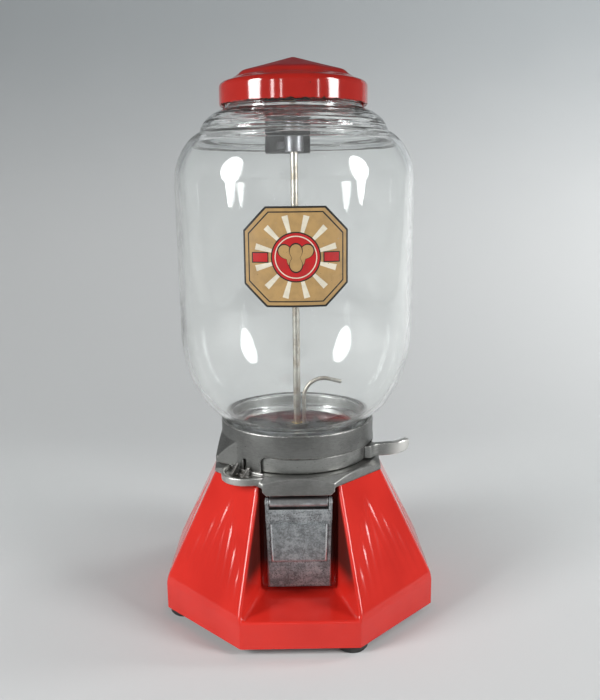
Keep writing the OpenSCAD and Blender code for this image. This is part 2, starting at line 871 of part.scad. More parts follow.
module lever() {
    rotate(lever_az)
        translate([ring_r - ring_wall / 2, 0, z_ring + (ring_h - lever_h) / 2])
            rotate(lever_lean)
                intersection() {
                    translate([0, 0, -spare]) linear_extrude(height = lever_h + tip_rise + 2 * spare)
                        polygon(lever_outline);
                    rotate([90, 0, 0]) linear_extrude(height = big, center = true) polygon(lever_side);
                }
}

module drive_ring() color([0.6, 0.6, 0.6])
    difference() {
        union() {
            ring(ring_r, ring_in, z_ring, z_ring_top);
            ring(ring_in + 0.5, ring_flange_in, z_ring, z_ring + ring_flange_t);
            difference() {
                lever();
                bar(ring_in + 1, z_ring - spare, z_ring_top + spare);
            }
        }
        rotate(coin_az)
            block([ring_r - coin_bite, -coin_gap / 2, z_ring - spare],
                  [ring_r + spare, coin_gap / 2, z_ring_top + spare]);
        for (az = [45:90:315])
            at(wheel_screw_reach, az) bar(wheel_screw_r + turn_gap, z_ring - spare, z_ring_top + spare);
    }

module measuring_wheel() color([0.55, 0.55, 0.53])
    difference() {
        union() {
            bar(ring_flange_in - turn_gap, z_ring, z_ring_top);
            bar(ring_in - turn_gap, z_ring + ring_flange_t, z_ring_top);
            bar(hub_r, hub_foot, hub_top);
        }
        bar(bush_r + turn_gap, hub_foot - spare, hub_top + spare);
        bent_slot(pocket_reach, pocket_r, 0, pocket_span, z_ring - spare, z_ring_top + spare);
        bent_slot(pawl_reach, pawl_t / 2 + drop_gap, pawl_az + lever_sweep / 2,
                  lever_sweep + pawl_groove_more, z_ring - spare, z_ring + pawl_lift);
        at(wire_reach, wire_az) bar(wire_r + turn_gap, hub_top - 6, hub_top + spare);
        for (az = [45:90:315])
            at(wheel_screw_reach, az) {
                bar(wheel_screw_r + turn_gap, z_ring - spare, z_ring_top + spare);
                bar(wheel_screw_r * 1.9 + turn_gap, z_ring_top - 1.6, z_ring_top + spare);
            }
    }

module wheel_screws() color("silver")
    for (az = [45:90:315])
        at(wheel_screw_reach, az, z_ring_top - 1.6) rotate([180, 0, 0])
            screw(wheel_screw_r * 1.9, 1.4, wheel_screw_r, ring_h - 1.9);

module hub_bush() color([0.75, 0.6, 0.3]) ring(bush_r, rod_r + turn_gap, hub_foot, hub_top);

module hub_clip() color([0.35, 0.35, 0.36]) ring(clip_r, hub_r + turn_gap, hub_foot, hub_foot + clip_h);

// Torsion spring round the boss, as one tube that follows a helix
spring_off = 1.8;
spring_r = boss_r + spring_off;
spring_wire = 0.7;
spring_turns = 3.5;
spring_low = hub_foot + clip_h + spring_wire + run_gap;
spring_high = z_cast_under - spring_wire - run_gap;
spring_rings = 8 * spring_turns;
spring_sides = 6;
function spring_point(i) =
    let (t = 360 * i / 8)
    [spring_r * cos(t), spring_r * sin(t), spring_low + (spring_high - spring_low) * i / spring_rings];
function spring_rim(i) =
    let (c = spring_point(i), t = 360 * i / 8)
    [for (k = [0:spring_sides - 1]) let (u = 360 * k / spring_sides)
        c + spring_wire * [cos(u) * cos(t), cos(u) * sin(t), sin(u)]];
echo(spring_gap = min([for (i = [0:spring_rings - 8]) norm(spring_point(i + 8) - spring_point(i))])
     - 2 * spring_wire);

module return_spring() color([0.4, 0.4, 0.42]) {
    n = spring_sides;
    points = [for (i = [0:spring_rings]) each spring_rim(i)];
    sides = [for (i = [0:spring_rings - 1], k = [0:n - 1])
        let (a = i * n + k, b = i * n + (k + 1) % n)
        each [[a, b, a + n], [b, b + n, a + n]]];
    last = spring_rings * n;
    ends = [for (k = [1:n - 2]) each [[0, k + 1, k], [last, last + k, last + k + 1]]];
    polyhedron(points, concat(sides, ends));
}

module cutoff_plate() color([0.22, 0.23, 0.25])
    difference() {
        bar(cutoff_r, z_cutoff, z_ledge);
        bar(hub_r + run_gap, z_cutoff - spare, z_ledge + spare);
        intersection() {
            ring(fill_out, fill_in, z_cutoff - spare, z_ledge + spare);
            wedge(fill_from, fill_to, z_cutoff - 2 * spare, z_ledge + 2 * spare);
        }
        rotate(brush_az)
            block([brush_from - seat_gap, -brush_w / 2 - seat_gap, z_cutoff - spare],
                  [brush_to + seat_gap, brush_w / 2 + seat_gap, z_ledge + spare]);
        for (az = cutoff_screw_az)
            at(cutoff_screw_reach, az) bar(cutoff_screw_r + seat_gap, z_cutoff - spare, z_ledge + spare);
    }

module cutoff_screws() color("silver")
    for (az = cutoff_screw_az)
        at(cutoff_screw_reach, az, z_ledge) rotate([180, 0, 0])
            screw(cutoff_screw_r * 1.8, 0.9, cutoff_screw_r, cutoff_t + lip_t - 0.2);

module brush_hood() color([0.3, 0.3, 0.32])
    rotate(brush_az)
        difference() {
            block([brush_from - hood_out, -brush_w / 2 - hood_out, z_ledge],
                  [brush_to + hood_out / 2, brush_w / 2 + hood_out, z_ledge + hood_h]);
            block([brush_from - hood_out + hood_t, -brush_w / 2 - hood_out + hood_t, z_ledge - spare],
                  [brush_to + hood_out / 2 - hood_t, brush_w / 2 + hood_out - hood_t,
                   z_ledge + hood_h - hood_t]);
        }

module wheel_brush() color([0.6, 0.5, 0.35])
    rotate(brush_az)
        block([brush_from, -brush_w / 2, z_ring_top + run_gap],
              [brush_to, brush_w / 2, z_ledge + hood_h - hood_t]);

// Hooked wire that stands on the hub and stirs the nuts
hook_droop = 14;
hook_step = 13;
module agitator() color([0.6, 0.55, 0.45]) {
    foot = wire_reach * [cos(wire_az), sin(wire_az)];
    middle = [foot[0] + agitator_bend, hub_top + agitator_up - agitator_bend];
    bend = [for (t = [180:-hook_step:90 - hook_droop])
        [middle[0] + agitator_bend * cos(t), foot[1], middle[1] + agitator_bend * sin(t)]];
    last = bend[len(bend) - 1];
    rest = foot[0] + agitator_reach - last[0];
    points = concat([[foot[0], foot[1], hub_top - 5.5]], bend,
        [[last[0] + rest, foot[1], last[2] - rest * tan(hook_droop)]]);
    for (i = [0:len(points) - 2]) {
        strut(points[i], points[i + 1], wire_r);
        translate(points[i + 1]) sphere(r = wire_r + 0.08, $fn = 32);
    }
}

module tie_rod() color([0.6, 0.6, 0.6]) bar(rod_r, 1.2, rod_top);

module rod_nuts() color("silver")
    for (z = [[z_plate - 3.6, z_plate], [z_plate_top, z_plate_top + 3.6]])
        difference() {
            translate([0, 0, z[0]]) cylinder(h = z[1] - z[0], r = rod_r * 1.9, $fn = 6);
            bar(rod_r + turn_gap, z[0] - spare, z[1] + spare);
        }

// Sleeve on the rod's end with a notch for the lid's bolt
module rod_keeper() color([0.4, 0.4, 0.42])
    difference() {
        bar(keeper_r, case_foot, rod_top - spare);
        bar(rod_r + turn_gap, case_foot - spare, rod_top);
        block([-keeper_r - spare, keeper_flat, bolt_z - bolt_gap],
              [keeper_r + spare, keeper_r + spare, bolt_z + bolt_h + bolt_gap]);
    }

// Outline of the chute in Y and Z, drawn in by its sheet
function chute_outline(inset) = [
    [-chute_front_top + inset, chute_top + inset * 2],
    [-chute_front_top + inset, z_flange - 1.5],
    [-chute_front + inset, z_flange - 7],
    [-chute_front + inset, frame_low - 3 + inset],
    [-chute_front + 9, frame_low + 1 + inset],
    [-chute_back - inset, frame_low + 36],
    [-chute_back - inset, chute_top + inset * 2]
];
chute_screw_r = 1.3;
chute_screw_y = 26;
chute_tab_half_l = 4;
chute_screw_up = 2.6;
chute_screw_head = 1.6;
chute_screw_points = [for (side = [-1, 1]) [side * (chute_half_w + chute_tab / 2), -chute_screw_y, 0]];

module nut_chute() color([0.5, 0.52, 0.55])
    difference() {
        union() {
            along_x(2 * chute_half_w) polygon(chute_outline(0));
            block([-chute_half_w - chute_tab, -chute_screw_y - chute_tab_half_l, chute_top - chute_t],
                  [chute_half_w + chute_tab, -chute_screw_y + chute_tab_half_l, chute_top]);
        }
        along_x(2 * frame_in) polygon(chute_outline(chute_t));
        block([-frame_in, -chute_front - spare, frame_low], [frame_in, -chute_front + 4, frame_high]);
        for (p = chute_screw_points)
            translate(p) bar(chute_screw_r + seat_gap, chute_top - chute_t - spare, chute_top + spare);
    }

module chute_screws() color("silver")
    for (p = chute_screw_points)
        translate([p[0], p[1], chute_top - chute_t])
            screw(chute_screw_r * 1.9, chute_screw_head, chute_screw_r, chute_t + run_gap + chute_screw_up);

// Frame in the recess wall that guides the nuts to the flap and carries its hinge
module door_frame() color([0.42, 0.43, 0.44])
    difference() {
        union() {
            block([-recess_half_w + frame_side, -recess_back - frame_t, frame_low - frame_under],
                  [recess_half_w - frame_side, -recess_back, frame_high + frame_over]);
            block([-frame_out, -recess_back - spare, frame_low - frame_rim],
                  [frame_out, -chute_front - seat_gap, frame_high + frame_rim]);
            block([-barrel_half_w, -recess_back - frame_t, frame_high],
                  [barrel_half_w, -recess_back, flap_z + barrel_r]);
            translate([0, hinge_y, flap_z]) rotate([0, 90, 0]) bar(barrel_r, -barrel_half_w, barrel_half_w);
        }
        block([-frame_in, -recess_back - frame_t - spare, frame_low],
              [frame_in, -chute_front + spare, frame_high]);
        translate([0, hinge_y, flap_z]) rotate([0, 90, 0]) bar(flap_pin_d / 2 + turn_gap, -big, big);
    }

module flap_door() color([0.3, 0.3, 0.31])
    difference() {
        union() {
            translate([0, -flap_front + flap_t, 0])
                rotate([90, 0, 0])
                    linear_extrude(height = flap_t)
                        polygon([
                            [-flap_half_w, flap_top], [-flap_half_w + flap_taper, flap_foot],
                            [flap_half_w - flap_taper, flap_foot], [flap_half_w, flap_top]
                        ]);
            translate([0, -flap_front + spare / 2, 0])
                rotate([90, 0, 0])
                    linear_extrude(height = panel_out + spare / 2)
                        polygon([
                            [-flap_half_w + panel_inset, panel_top],
                            [-flap_half_w + panel_foot_inset, panel_top - panel_h],
                            [flap_half_w - panel_foot_inset, panel_top - panel_h],
                            [flap_half_w - panel_inset, panel_top]
                        ]);
            for (side = [-1, 1])
                translate([side * (flap_half_w - flap_ear_t / 2), 0, 0])
                    along_x(flap_ear_t) {
                        translate([hinge_y, flap_z]) circle(flap_ear_r);
                        translate([-flap_front, flap_top - ear_down])
                            square([flap_front + hinge_y + ear_deep, hinge_up + ear_down]);
                    }
        }
        translate([0, hinge_y, flap_z]) rotate([0, 90, 0]) bar(flap_pin_d / 2 + turn_gap, -big, big);
    }

module flap_pin() color([0.6, 0.6, 0.6])
    translate([0, hinge_y, flap_z])
        rotate([0, 90, 0]) bar(flap_pin_d / 2, -flap_half_w - 0.5, flap_half_w + 0.5);

// Sheet channel that leads a coin from the casting down to the tray
module coin_guide() color([0.5, 0.52, 0.55])
    rotate(coin_drop_az)
        difference() {
            block([coin_drop_from - guide_in, -guide_half_w, chute_top - guide_h],
                  [coin_drop_to + guide_out, guide_half_w, chute_top]);
            block([coin_drop_from - guide_in + guide_t, -guide_half_w + guide_t, chute_top - guide_h - spare],
                  [coin_drop_to + guide_out - guide_t, guide_half_w - guide_t, chute_top + spare]);
        }

module coin_pawl() color([0.4, 0.4, 0.42])
    rotate(pawl_az)
        translate([pawl_reach, 0, z_cast])
            difference() {
                along_x(pawl_t) {
                    translate([pawl_arm, -pawl_drop]) circle(pawl_eye_r);
                    translate([-pawl_nose_w / 2, -pawl_drop - 2]) square([pawl_arm + pawl_nose_w / 2, 4]);
                    translate([-pawl_nose_w / 2, -pawl_drop]) square([pawl_nose_w, pawl_drop]);
                    translate([pawl_arm, -pawl_drop - 2]) square([7, 4]);
                }
                translate([0, pawl_arm, -pawl_drop])
                    rotate([0, 90, 0]) bar(pawl_pin_r + turn_gap, -pawl_t, pawl_t);
            }

module pawl_pin() color([0.6, 0.6, 0.6])
    rotate(pawl_az)
        translate([pawl_reach, pawl_arm, z_cast - pawl_drop])
            rotate([0, 90, 0]) bar(pawl_pin_r, -pawl_pin_half_l, pawl_pin_half_l);

// Leaf spring between the casting and the pawl's tail
leaf_t = 0.6;
leaf_root = 3.4;
leaf_tip = 6.5;
leaf_up = 2.3;
module pawl_spring() color([0.4, 0.4, 0.42])
    rotate(pawl_az)
        translate([pawl_reach, 0, z_cast])
            along_x(pawl_t)
                polygon([
                    [pawl_arm + leaf_root, -cast_plate_t],
                    [pawl_arm + leaf_root + leaf_t, -cast_plate_t],
                    [pawl_arm + leaf_tip, -pawl_drop + leaf_up + leaf_t],
                    [pawl_arm + leaf_tip, -pawl_drop + leaf_up],
                    [pawl_arm + leaf_tip - leaf_t, -pawl_drop + leaf_up]
                ]);

// How much further a gasket reaches than its seat
gasket_lap = 0.4;
module globe_gasket() color([0.12, 0.12, 0.12])
    ring(globe_foot_r, cutoff_r + gasket_lap, z_ledge, z_globe);

// Outline of the glass, as radius and height above its foot, drawn in by a thickness
function glass_side(inset, foot_r, foot_z) =
    let (
        bowl_from = -acos((foot_r - bowl_x) / (bowl_rx - inset)),
        crease = crease_r - inset,
        shoulder_to = acos((crease - shoulder_x) / (shoulder_rx - inset)),
        dome_from = acos(min(1, (crease - crease_in - dome_x) / (dome_rx - inset))),
        dome_to = acos((mouth_r - inset - dome_x) / (dome_rx - inset))
    )
    concat(
        [[foot_r, foot_z]],
        ellipse([bowl_x, bowl_z], bowl_rx - inset, bowl_rz - inset, bowl_from, 0, 14),
        [[globe_r - inset, side_z]],
        ellipse([shoulder_x, shoulder_z], shoulder_rx - inset, shoulder_rz - inset, 0, shoulder_to, 10),
        ellipse([dome_x, dome_z], dome_rx - inset, dome_rz - inset, dome_from, dome_to, 8),
        [[mouth_r - inset, globe_h]]
    );

module globe() color([0.8, 0.85, 0.85, 0.3])
    translate([0, 0, z_globe])
        rotate_extrude() {
            inner = glass_side(glass_t, globe_foot_r - glass_t, lip_glass + lip_slope);
            polygon(concat(
                glass_side(0, globe_foot_r, 0),
                [for (i = [len(inner) - 1:-1:0]) inner[i]],
                [[throat_r, lip_glass], [throat_r, 0]]
            ));
        }

module lid_gasket() color([0.12, 0.12, 0.12])
    ring(mouth_r, mouth_r - glass_t - gasket_lap, z_lid_gasket, z_lid_seat);

// Outline of the lid's eight-sided peak, as half width and height
peak_outline = [
    [peak_half_w, peak_z],
    [peak_half_w - 2.2, peak_z + peak_band - 1.4],
    [peak_half_w - 4.4, peak_z + peak_band],
    [0, z_top]
];
peak_hollow = concat(
    [[peak_outline[1][0] - lid_wall, z_lid_seat - spare]],
    [for (i = [1:3]) [max(0, peak_outline[i][0] - lid_wall), peak_outline[i][1] - lid_wall * 1.1]]
);
lid_edge = z_lid + 11.6;

module lid_outside() {
    rotate_extrude()
        polygon(concat(
            [[0, z_lid], [lid_r, z_lid]],
            ellipse([lid_r - lid_round, lid_edge], lid_round, lid_round, 0, 90, 6),
            [[peak_half_w + 4.4, peak_z], [peak_half_w - 1, peak_z + 0.6], [0, peak_z + 0.6]]
        ));
    eight_sided(peak_outline);
}

// Space of the lock's case, between two levels
module lock_space(z0, z1) {
    block([lock_x - case_w / 2, lock_y - case_d / 2, z0], [lock_x + case_w / 2, lock_y + case_d / 2, z1]);
}
lock_screw_r = 1.3;
lock_screw_in = 6;
lock_screw_x = [for (side = [-1, 1]) lock_x + side * (case_w / 2 - 3.2)];

module lid() color([0.75, 0.1, 0.08])
    difference() {
        lid_outside();
        bar(lid_in, z_lid - spare, z_lid_seat);
        difference() {
            eight_sided(peak_hollow);
            lock_space(z_lid_seat, z_top);
        }
        translate([lock_x, lock_y, 0]) bar(plug_d / 2 + turn_gap, z_lid_seat - spare, z_top);
        for (x = lock_screw_x)
            translate([x, lock_y, 0])
                bar(lock_screw_r + turn_gap, z_lid_seat - spare, z_lid_seat + lock_screw_in);
    }

module lock_case() color([0.25, 0.25, 0.26])
    difference() {
        lock_space(case_foot, z_lid_seat);
        translate([lock_x, lock_y, 0]) bar(plug_d / 2 + turn_gap, bolt_z + bolt_h, z_lid_seat + spare);
        block([lock_x - bolt_w / 2 - run_gap, 0, bolt_z - run_gap],
              [lock_x + bolt_w / 2 + run_gap, bolt_back, bolt_z + bolt_h + run_gap]);
        for (x = lock_screw_x)
            translate([x, lock_y, 0]) {
                bar(lock_screw_r + seat_gap, case_foot - spare, z_lid_seat + spare);
                bar(lock_screw_r * 2, case_foot - spare, z_lid_seat - lock_screw_in);
            }
    }

module lock_screws() color("silver")
    for (x = lock_screw_x)
        translate([x, lock_y, z_lid_seat - lock_screw_in])
            screw(lock_screw_r * 1.8, 2, lock_screw_r, 2 * lock_screw_in - spare);

// Key plug with its crank pin, cut off flush under the peak's slope
plug_top = z_top - 6.2;
module lock_plug() color([0.7, 0.65, 0.5])
    difference() {
        translate([lock_x, lock_y, 0]) {
            bar(plug_d / 2, bolt_z + bolt_h + run_gap, plug_top);
            translate([bolt_travel, 0, 0]) bar(crank_pin_r, bolt_z + 1, bolt_z + bolt_h + run_gap + spare);
        }
        block([lock_x - 0.6, lock_y - 3, plug_top - 4], [lock_x + 0.6, lock_y + 3, plug_top + spare]);
    }

module lock_bolt() color([0.6, 0.6, 0.6])
    difference() {
        block([lock_x - bolt_w / 2, bolt_tip, bolt_z],
              [lock_x + bolt_w / 2, bolt_back - run_gap, bolt_z + bolt_h]);
        block([lock_x - crank_pin_r - bolt_gap, lock_y - crank_pin_r - 3 * bolt_gap, bolt_z - spare],
              [lock_x + bolt_travel + crank_pin_r + bolt_gap, lock_y + crank_pin_r + bolt_gap,
               bolt_z + bolt_h + spare]);
    }

base_shell();
bottom_plate();
rubber_feet();
foot_screws();
cash_tray();
top_casting();
collar();
collar_screws();
drive_ring();
measuring_wheel();
wheel_screws();
hub_bush();
hub_clip();
return_spring();
cutoff_plate();
cutoff_screws();
brush_hood();
wheel_brush();
agitator();
tie_rod();
rod_nuts();
rod_keeper();
nut_chute();
chute_screws();
door_frame();
flap_door();
flap_pin();
coin_guide();
coin_pawl();
pawl_pin();
pawl_spring();
globe_gasket();
globe();
lid_gasket();
lid();
lock_case();
lock_screws();
lock_plug();
lock_bolt();
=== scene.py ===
# %% [markdown]
# # A counter-top peanut vending machine
#
# This lesson dresses a finished mechanical model. The frame that we load holds every solid at its true
# size and place, and the joints that move them. We set up a photographer's table, give each solid the
# finish of the real one, and model anew the pieces that need softer forms than their solids have.

# %% Load the frame
import json
import math

import bmesh
import bpy
from mathutils import Matrix, Vector


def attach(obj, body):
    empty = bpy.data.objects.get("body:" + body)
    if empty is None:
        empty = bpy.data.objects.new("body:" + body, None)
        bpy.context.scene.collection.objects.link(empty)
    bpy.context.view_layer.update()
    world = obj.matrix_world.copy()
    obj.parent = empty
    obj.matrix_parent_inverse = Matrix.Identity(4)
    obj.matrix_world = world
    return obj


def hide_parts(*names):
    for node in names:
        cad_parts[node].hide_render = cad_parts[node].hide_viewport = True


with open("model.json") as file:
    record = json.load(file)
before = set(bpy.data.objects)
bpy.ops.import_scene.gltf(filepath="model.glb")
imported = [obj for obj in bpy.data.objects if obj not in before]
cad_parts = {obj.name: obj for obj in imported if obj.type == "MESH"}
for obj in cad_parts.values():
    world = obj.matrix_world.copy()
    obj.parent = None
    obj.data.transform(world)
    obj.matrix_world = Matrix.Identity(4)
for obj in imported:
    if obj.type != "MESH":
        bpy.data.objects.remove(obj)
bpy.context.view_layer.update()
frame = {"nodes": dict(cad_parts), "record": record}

nodes = frame["nodes"]
scene = bpy.context.scene
MM = 0.001

# %% [markdown]
# ## The camera
#
# The machine is seen from the front, a little from above, from about half a metre away. A camera could be
# nudged by eye until the picture fits, but a known lens holds still. It is worked out from a focal length
# in pixels, because the picture's frame is 600 by 700 and Blender's sensor spans the longer side.

# %% Place the camera
PICTURE_H = 700
FOCAL_PX = 782.28
SENSOR_MM = 36
CAMERA_PLACE = Vector((-2.39, -511.9, 275.3)) * MM
CAMERA_PITCH = math.radians(-11.586)
CAMERA_TURN = math.radians(-0.535)
CAMERA_ROLL = math.radians(-0.637)

camera_data = bpy.data.cameras.new("camera")
camera_data.sensor_width = SENSOR_MM
camera_data.lens = FOCAL_PX * SENSOR_MM / PICTURE_H
camera = bpy.data.objects.new("camera", camera_data)
scene.collection.objects.link(camera)
aim = Matrix.Rotation(CAMERA_TURN, 4, "Z") @ Matrix.Rotation(math.pi / 2 + CAMERA_PITCH, 4, "X")
camera.matrix_world = Matrix.Translation(CAMERA_PLACE) @ aim @ Matrix.Rotation(CAMERA_ROLL, 4, "Z")
scene.camera = camera
print("lens:", round(camera_data.lens, 2), "mm")

# %% [markdown]
# ## Shader maths
#
# A material is a small program of nodes. They could be added and linked one by one, but the wiring would
# hide the sum. So one class wraps a node's output: sums and products of wrapped outputs add Math nodes by
# themselves, and one method adds any other kind of node.

# %% A wrapper for node outputs
class Wire:
    """One output of a node in a material, with arithmetic that adds Math nodes."""

    def __init__(self, tree, socket=None):
        self.tree = tree
        self.socket = socket

    def node(self, kind, settings=None, output=0, **inputs):
        """Add a node. Inputs are named as on it, with _ for a space, or i0, i1 for a place in its list."""
        made = self.tree.nodes.new(kind)
        for name, value in (settings or {}).items():
            setattr(made, name, value)
        for name, value in inputs.items():
            by_place = name[0] == "i" and name[1:].isdigit()
            plug = made.inputs[int(name[1:]) if by_place else name.replace("_", " ")]
            if isinstance(value, Wire):
                self.tree.links.new(value.socket, plug)
            else:
                plug.default_value = value
        return Wire(self.tree, made.outputs[output])

    def math(self, operation, first, second=0.0):
        """Add a Math node."""
        return self.node("ShaderNodeMath", {"operation": operation}, i0=first, i1=second)

    def __add__(self, other):
        return self.math("ADD", self, other)

    def __sub__(self, other):
        return self.math("SUBTRACT", self, other)

    def __mul__(self, other):
        return self.math("MULTIPLY", self, other)

    def __rsub__(self, other):
        return self.math("SUBTRACT", other, self)

    def __abs__(self):
        return self.math("ABSOLUTE", self)

    __radd__ = __add__
    __rmul__ = __mul__

    def ramp(self, low, high):
        """0 below low, 1 above high, and a smooth rise between them."""
        return self.node("ShaderNodeMapRange", {"interpolation_type": "SMOOTHSTEP"},
                         Value=self, From_Min=low, From_Max=high)

    def blend(self, first, second):
        """Mix two colours by this value."""
        first, second = (side if isinstance(side, Wire) else (*side, 1) for side in (first, second))
        return self.node("ShaderNodeMix", {"data_type": "RGBA"}, 2, i0=self, i6=first, i7=second)

    def noise(self, size_mm, detail=3.0, roughness=0.5):
        """Noise with blotches of about this size, from this vector."""
        return self.node("ShaderNodeTexNoise", Vector=self, Scale=1 / (size_mm * MM),
                         Detail=detail, Roughness=roughness)

    def part(self, axis):
        """One coordinate of this vector."""
        return self.node("ShaderNodeSeparateXYZ", None, "XYZ".index(axis), Vector=self)

    def stretch(self, x, y, z):
        """This vector, scaled along its axes."""
        return self.node("ShaderNodeMapping", Vector=self, Scale=(x, y, z))

    def distance(self, point):
        """How far this vector is from a point."""
        return self.node("ShaderNodeVectorMath", {"operation": "DISTANCE"}, "Value", i0=self, i1=point)


# %% Helpers for materials
def new_material(name, **constants):
    """A material with one Principled shader; returns it, the place on the object, and the shader."""
    material = bpy.data.materials.new(name)
    material.use_nodes = True
    tree = material.node_tree
    shader = tree.nodes["Principled BSDF"]
    for key, value in constants.items():
        shader.inputs[key.replace("_", " ")].default_value = value
    place = Wire(tree).node("ShaderNodeTexCoord", None, "Object")
    return material, place, shader


def feed(shader, **wires):
    """Link values to the shader's sockets."""
    for key, wire in wires.items():
        wire.tree.links.new(wire.socket, shader.inputs[key.replace("_", " ")])


def bump(height, depth_mm, strength):
    """Surface relief from a height between 0 and 1."""
    return height.node("ShaderNodeBump", Height=height, Distance=depth_mm * MM, Strength=strength)


def toned(tone, *colours):
    """Colours made lighter or darker alike."""
    return [[tone * part for part in colour] for colour in colours]


# %% [markdown]
# ## Enamel
#
# The base and the lid are sheet iron with a fired coat of red glass. Fired enamel is very smooth and
# glossy, a touch uneven like orange peel, and it chips to dark iron along edges that get knocked. One red
# with a low roughness would look like plastic, so a clear coat lies over a cloudy red, and noise moves
# both a little.

# %% Painted shade in the hand recess
RECESS_EDGE_LOW, RECESS_EDGE_Z, RECESS_EDGE_LEAN = 0.0362, 0.025, 0.162
# Bounds of the painted shade on the recess walls, in metres
SHADE_SIDE = (0.0, 0.0015)
SHADE_FRONT = (-0.086, -0.068)
SHADE_BACK = (-0.042, -0.036)
SHADE_UP = (0.030, 0.046)


def recess_painted_shade(place):
    """Where shade is painted: 1 on the walls of the hand recess beside the flap, 0 on the rest of the base.
    """
    depth, up = place.part("Y"), place.part("Z")
    edge = RECESS_EDGE_LOW - RECESS_EDGE_LEAN * (up - RECESS_EDGE_Z)
    inside = (edge - abs(place.part("X"))).ramp(*SHADE_SIDE)
    deep = depth.ramp(*SHADE_FRONT) * (1 - depth.ramp(*SHADE_BACK))
    return inside * deep * up.ramp(*SHADE_UP)


# %% The red enamel
ENAMEL_RED = (0.61, 0.026, 0.017)
ENAMEL_DEEP = (0.53, 0.020, 0.013)
# Painted shade colour for the recess walls
ENAMEL_SHADED = (0.03, 0.010, 0.008)
# Painted shade colour for the top of the lid's peak
ENAMEL_PEAK_SHADE = (0.20, 0.018, 0.022)
BARE_IRON = (0.035, 0.022, 0.018)
# How far the recess's painted shade darkens the colour and dulls the coat
SHADE_COVER, SHADE_MATT = 0.92, 0.8
CHIP_SHARE, CHIP_BORDER = 0.22, (0.70, 0.725)
# Height band where the lid's peak turns to painted shade, how far it darkens, and how far its coat dulls
PEAK_SHADE_RISE, PEAK_SHADE_COVER, PEAK_SHADE_MATT = (0.3450, 0.3475), 0.9, 0.85


def red_enamel(name, tone=1.0, shaded_recess=False, coat_rough=0.05, coat_ior=1.46, chips=None):
    """Gloss red, with painted shade in the recess if asked. Chips (level, reach in m) show iron and shade
    the peak.
    """
    material, place, shader = new_material(name, Specular_IOR_Level=0.0, Coat_Weight=1.0,
                                           Coat_Roughness=coat_rough, Coat_IOR=coat_ior)
    colour = place.noise(38, 2).ramp(0.3, 0.75).blend(*toned(tone, ENAMEL_RED, ENAMEL_DEEP))
    rough = 0.2 + 0.14 * place.noise(6, 3)
    peel = place.noise(5, 2) + 0.2 * place.noise(0.9, 2)
    if shaded_recess:
        # Painted shade: the recess walls turn almost black and their coat goes matt
        recess_shade = recess_painted_shade(place)
        colour = (SHADE_COVER * recess_shade).blend(colour, ENAMEL_SHADED)
        feed(shader, Coat_Weight=1 - SHADE_MATT * recess_shade)
    if chips:
        level, reach = chips
        edge = 1 - abs(place.part("Z") - level).ramp(0.0, reach)
        chip = (CHIP_SHARE * edge + place.noise(3.4, 4, 0.6)).ramp(*CHIP_BORDER)
        # Painted shade: the top of the lid's peak is darker and its coat duller, so it mirrors less
        peak_shade = place.part("Z").ramp(*PEAK_SHADE_RISE)
        colour = (PEAK_SHADE_COVER * peak_shade).blend(chip.blend(colour, BARE_IRON), ENAMEL_PEAK_SHADE)
        rough = rough + 0.45 * chip
        peel = peel - 1.2 * chip
        feed(shader, Coat_Weight=(1 - chip) * (1 - PEAK_SHADE_MATT * peak_shade))
    feed(shader, Base_Color=colour, Roughness=rough, Normal=bump(peel, 0.05, 0.35))
    return material


# %% [markdown]
# ## Cast aluminium
#
# The casting, the collar and the turning ring are sand-cast aluminium gone grey with age: a fine grain,
# cloudy dull patches, and brighter metal where hands have rubbed it. Wear could be painted on, but Cycles
# knows how sharply a fine mesh bends at each point, and that value puts the wear on the edges and a darker
# colour in the corners. The coin well on the shelf is painted dark as shade.

# %% The aluminium
ALUMINIUM_PALE = (0.28, 0.282, 0.27)
ALUMINIUM_GREY = (0.165, 0.166, 0.16)
ALUMINIUM_PIT = (0.07, 0.066, 0.06)
ALUMINIUM_RUBBED = (0.72, 0.71, 0.68)
# Dark colour for bent-in corners, and painted shade in the coin well
CORNER_DARK_AND_WELL_SHADE, HOLLOW_DARK_COVER = (0.055, 0.048, 0.038), 0.8
EDGE_BEND, CORNER_BEND = (0.515, 0.56), (0.45, 0.49)
AXIS, LEVER_TIP = (0, 0, 0), (0.060, 0.070)
# Where the coin well's painted shade lies, how far it reaches and how strong it is
COIN_WELL, WELL_REACH, WELL_SHADE_COVER = (-0.0383, -0.0425, 0.100), (0.004, 0.010), 0.9


def worn_edges(place):
    """Two masks of a fine mesh: its rubbed edges and its bent-in corners."""
    bend = place.node("ShaderNodeNewGeometry", None, "Pointiness")
    return bend.ramp(*EDGE_BEND), 1 - bend.ramp(*CORNER_BEND)


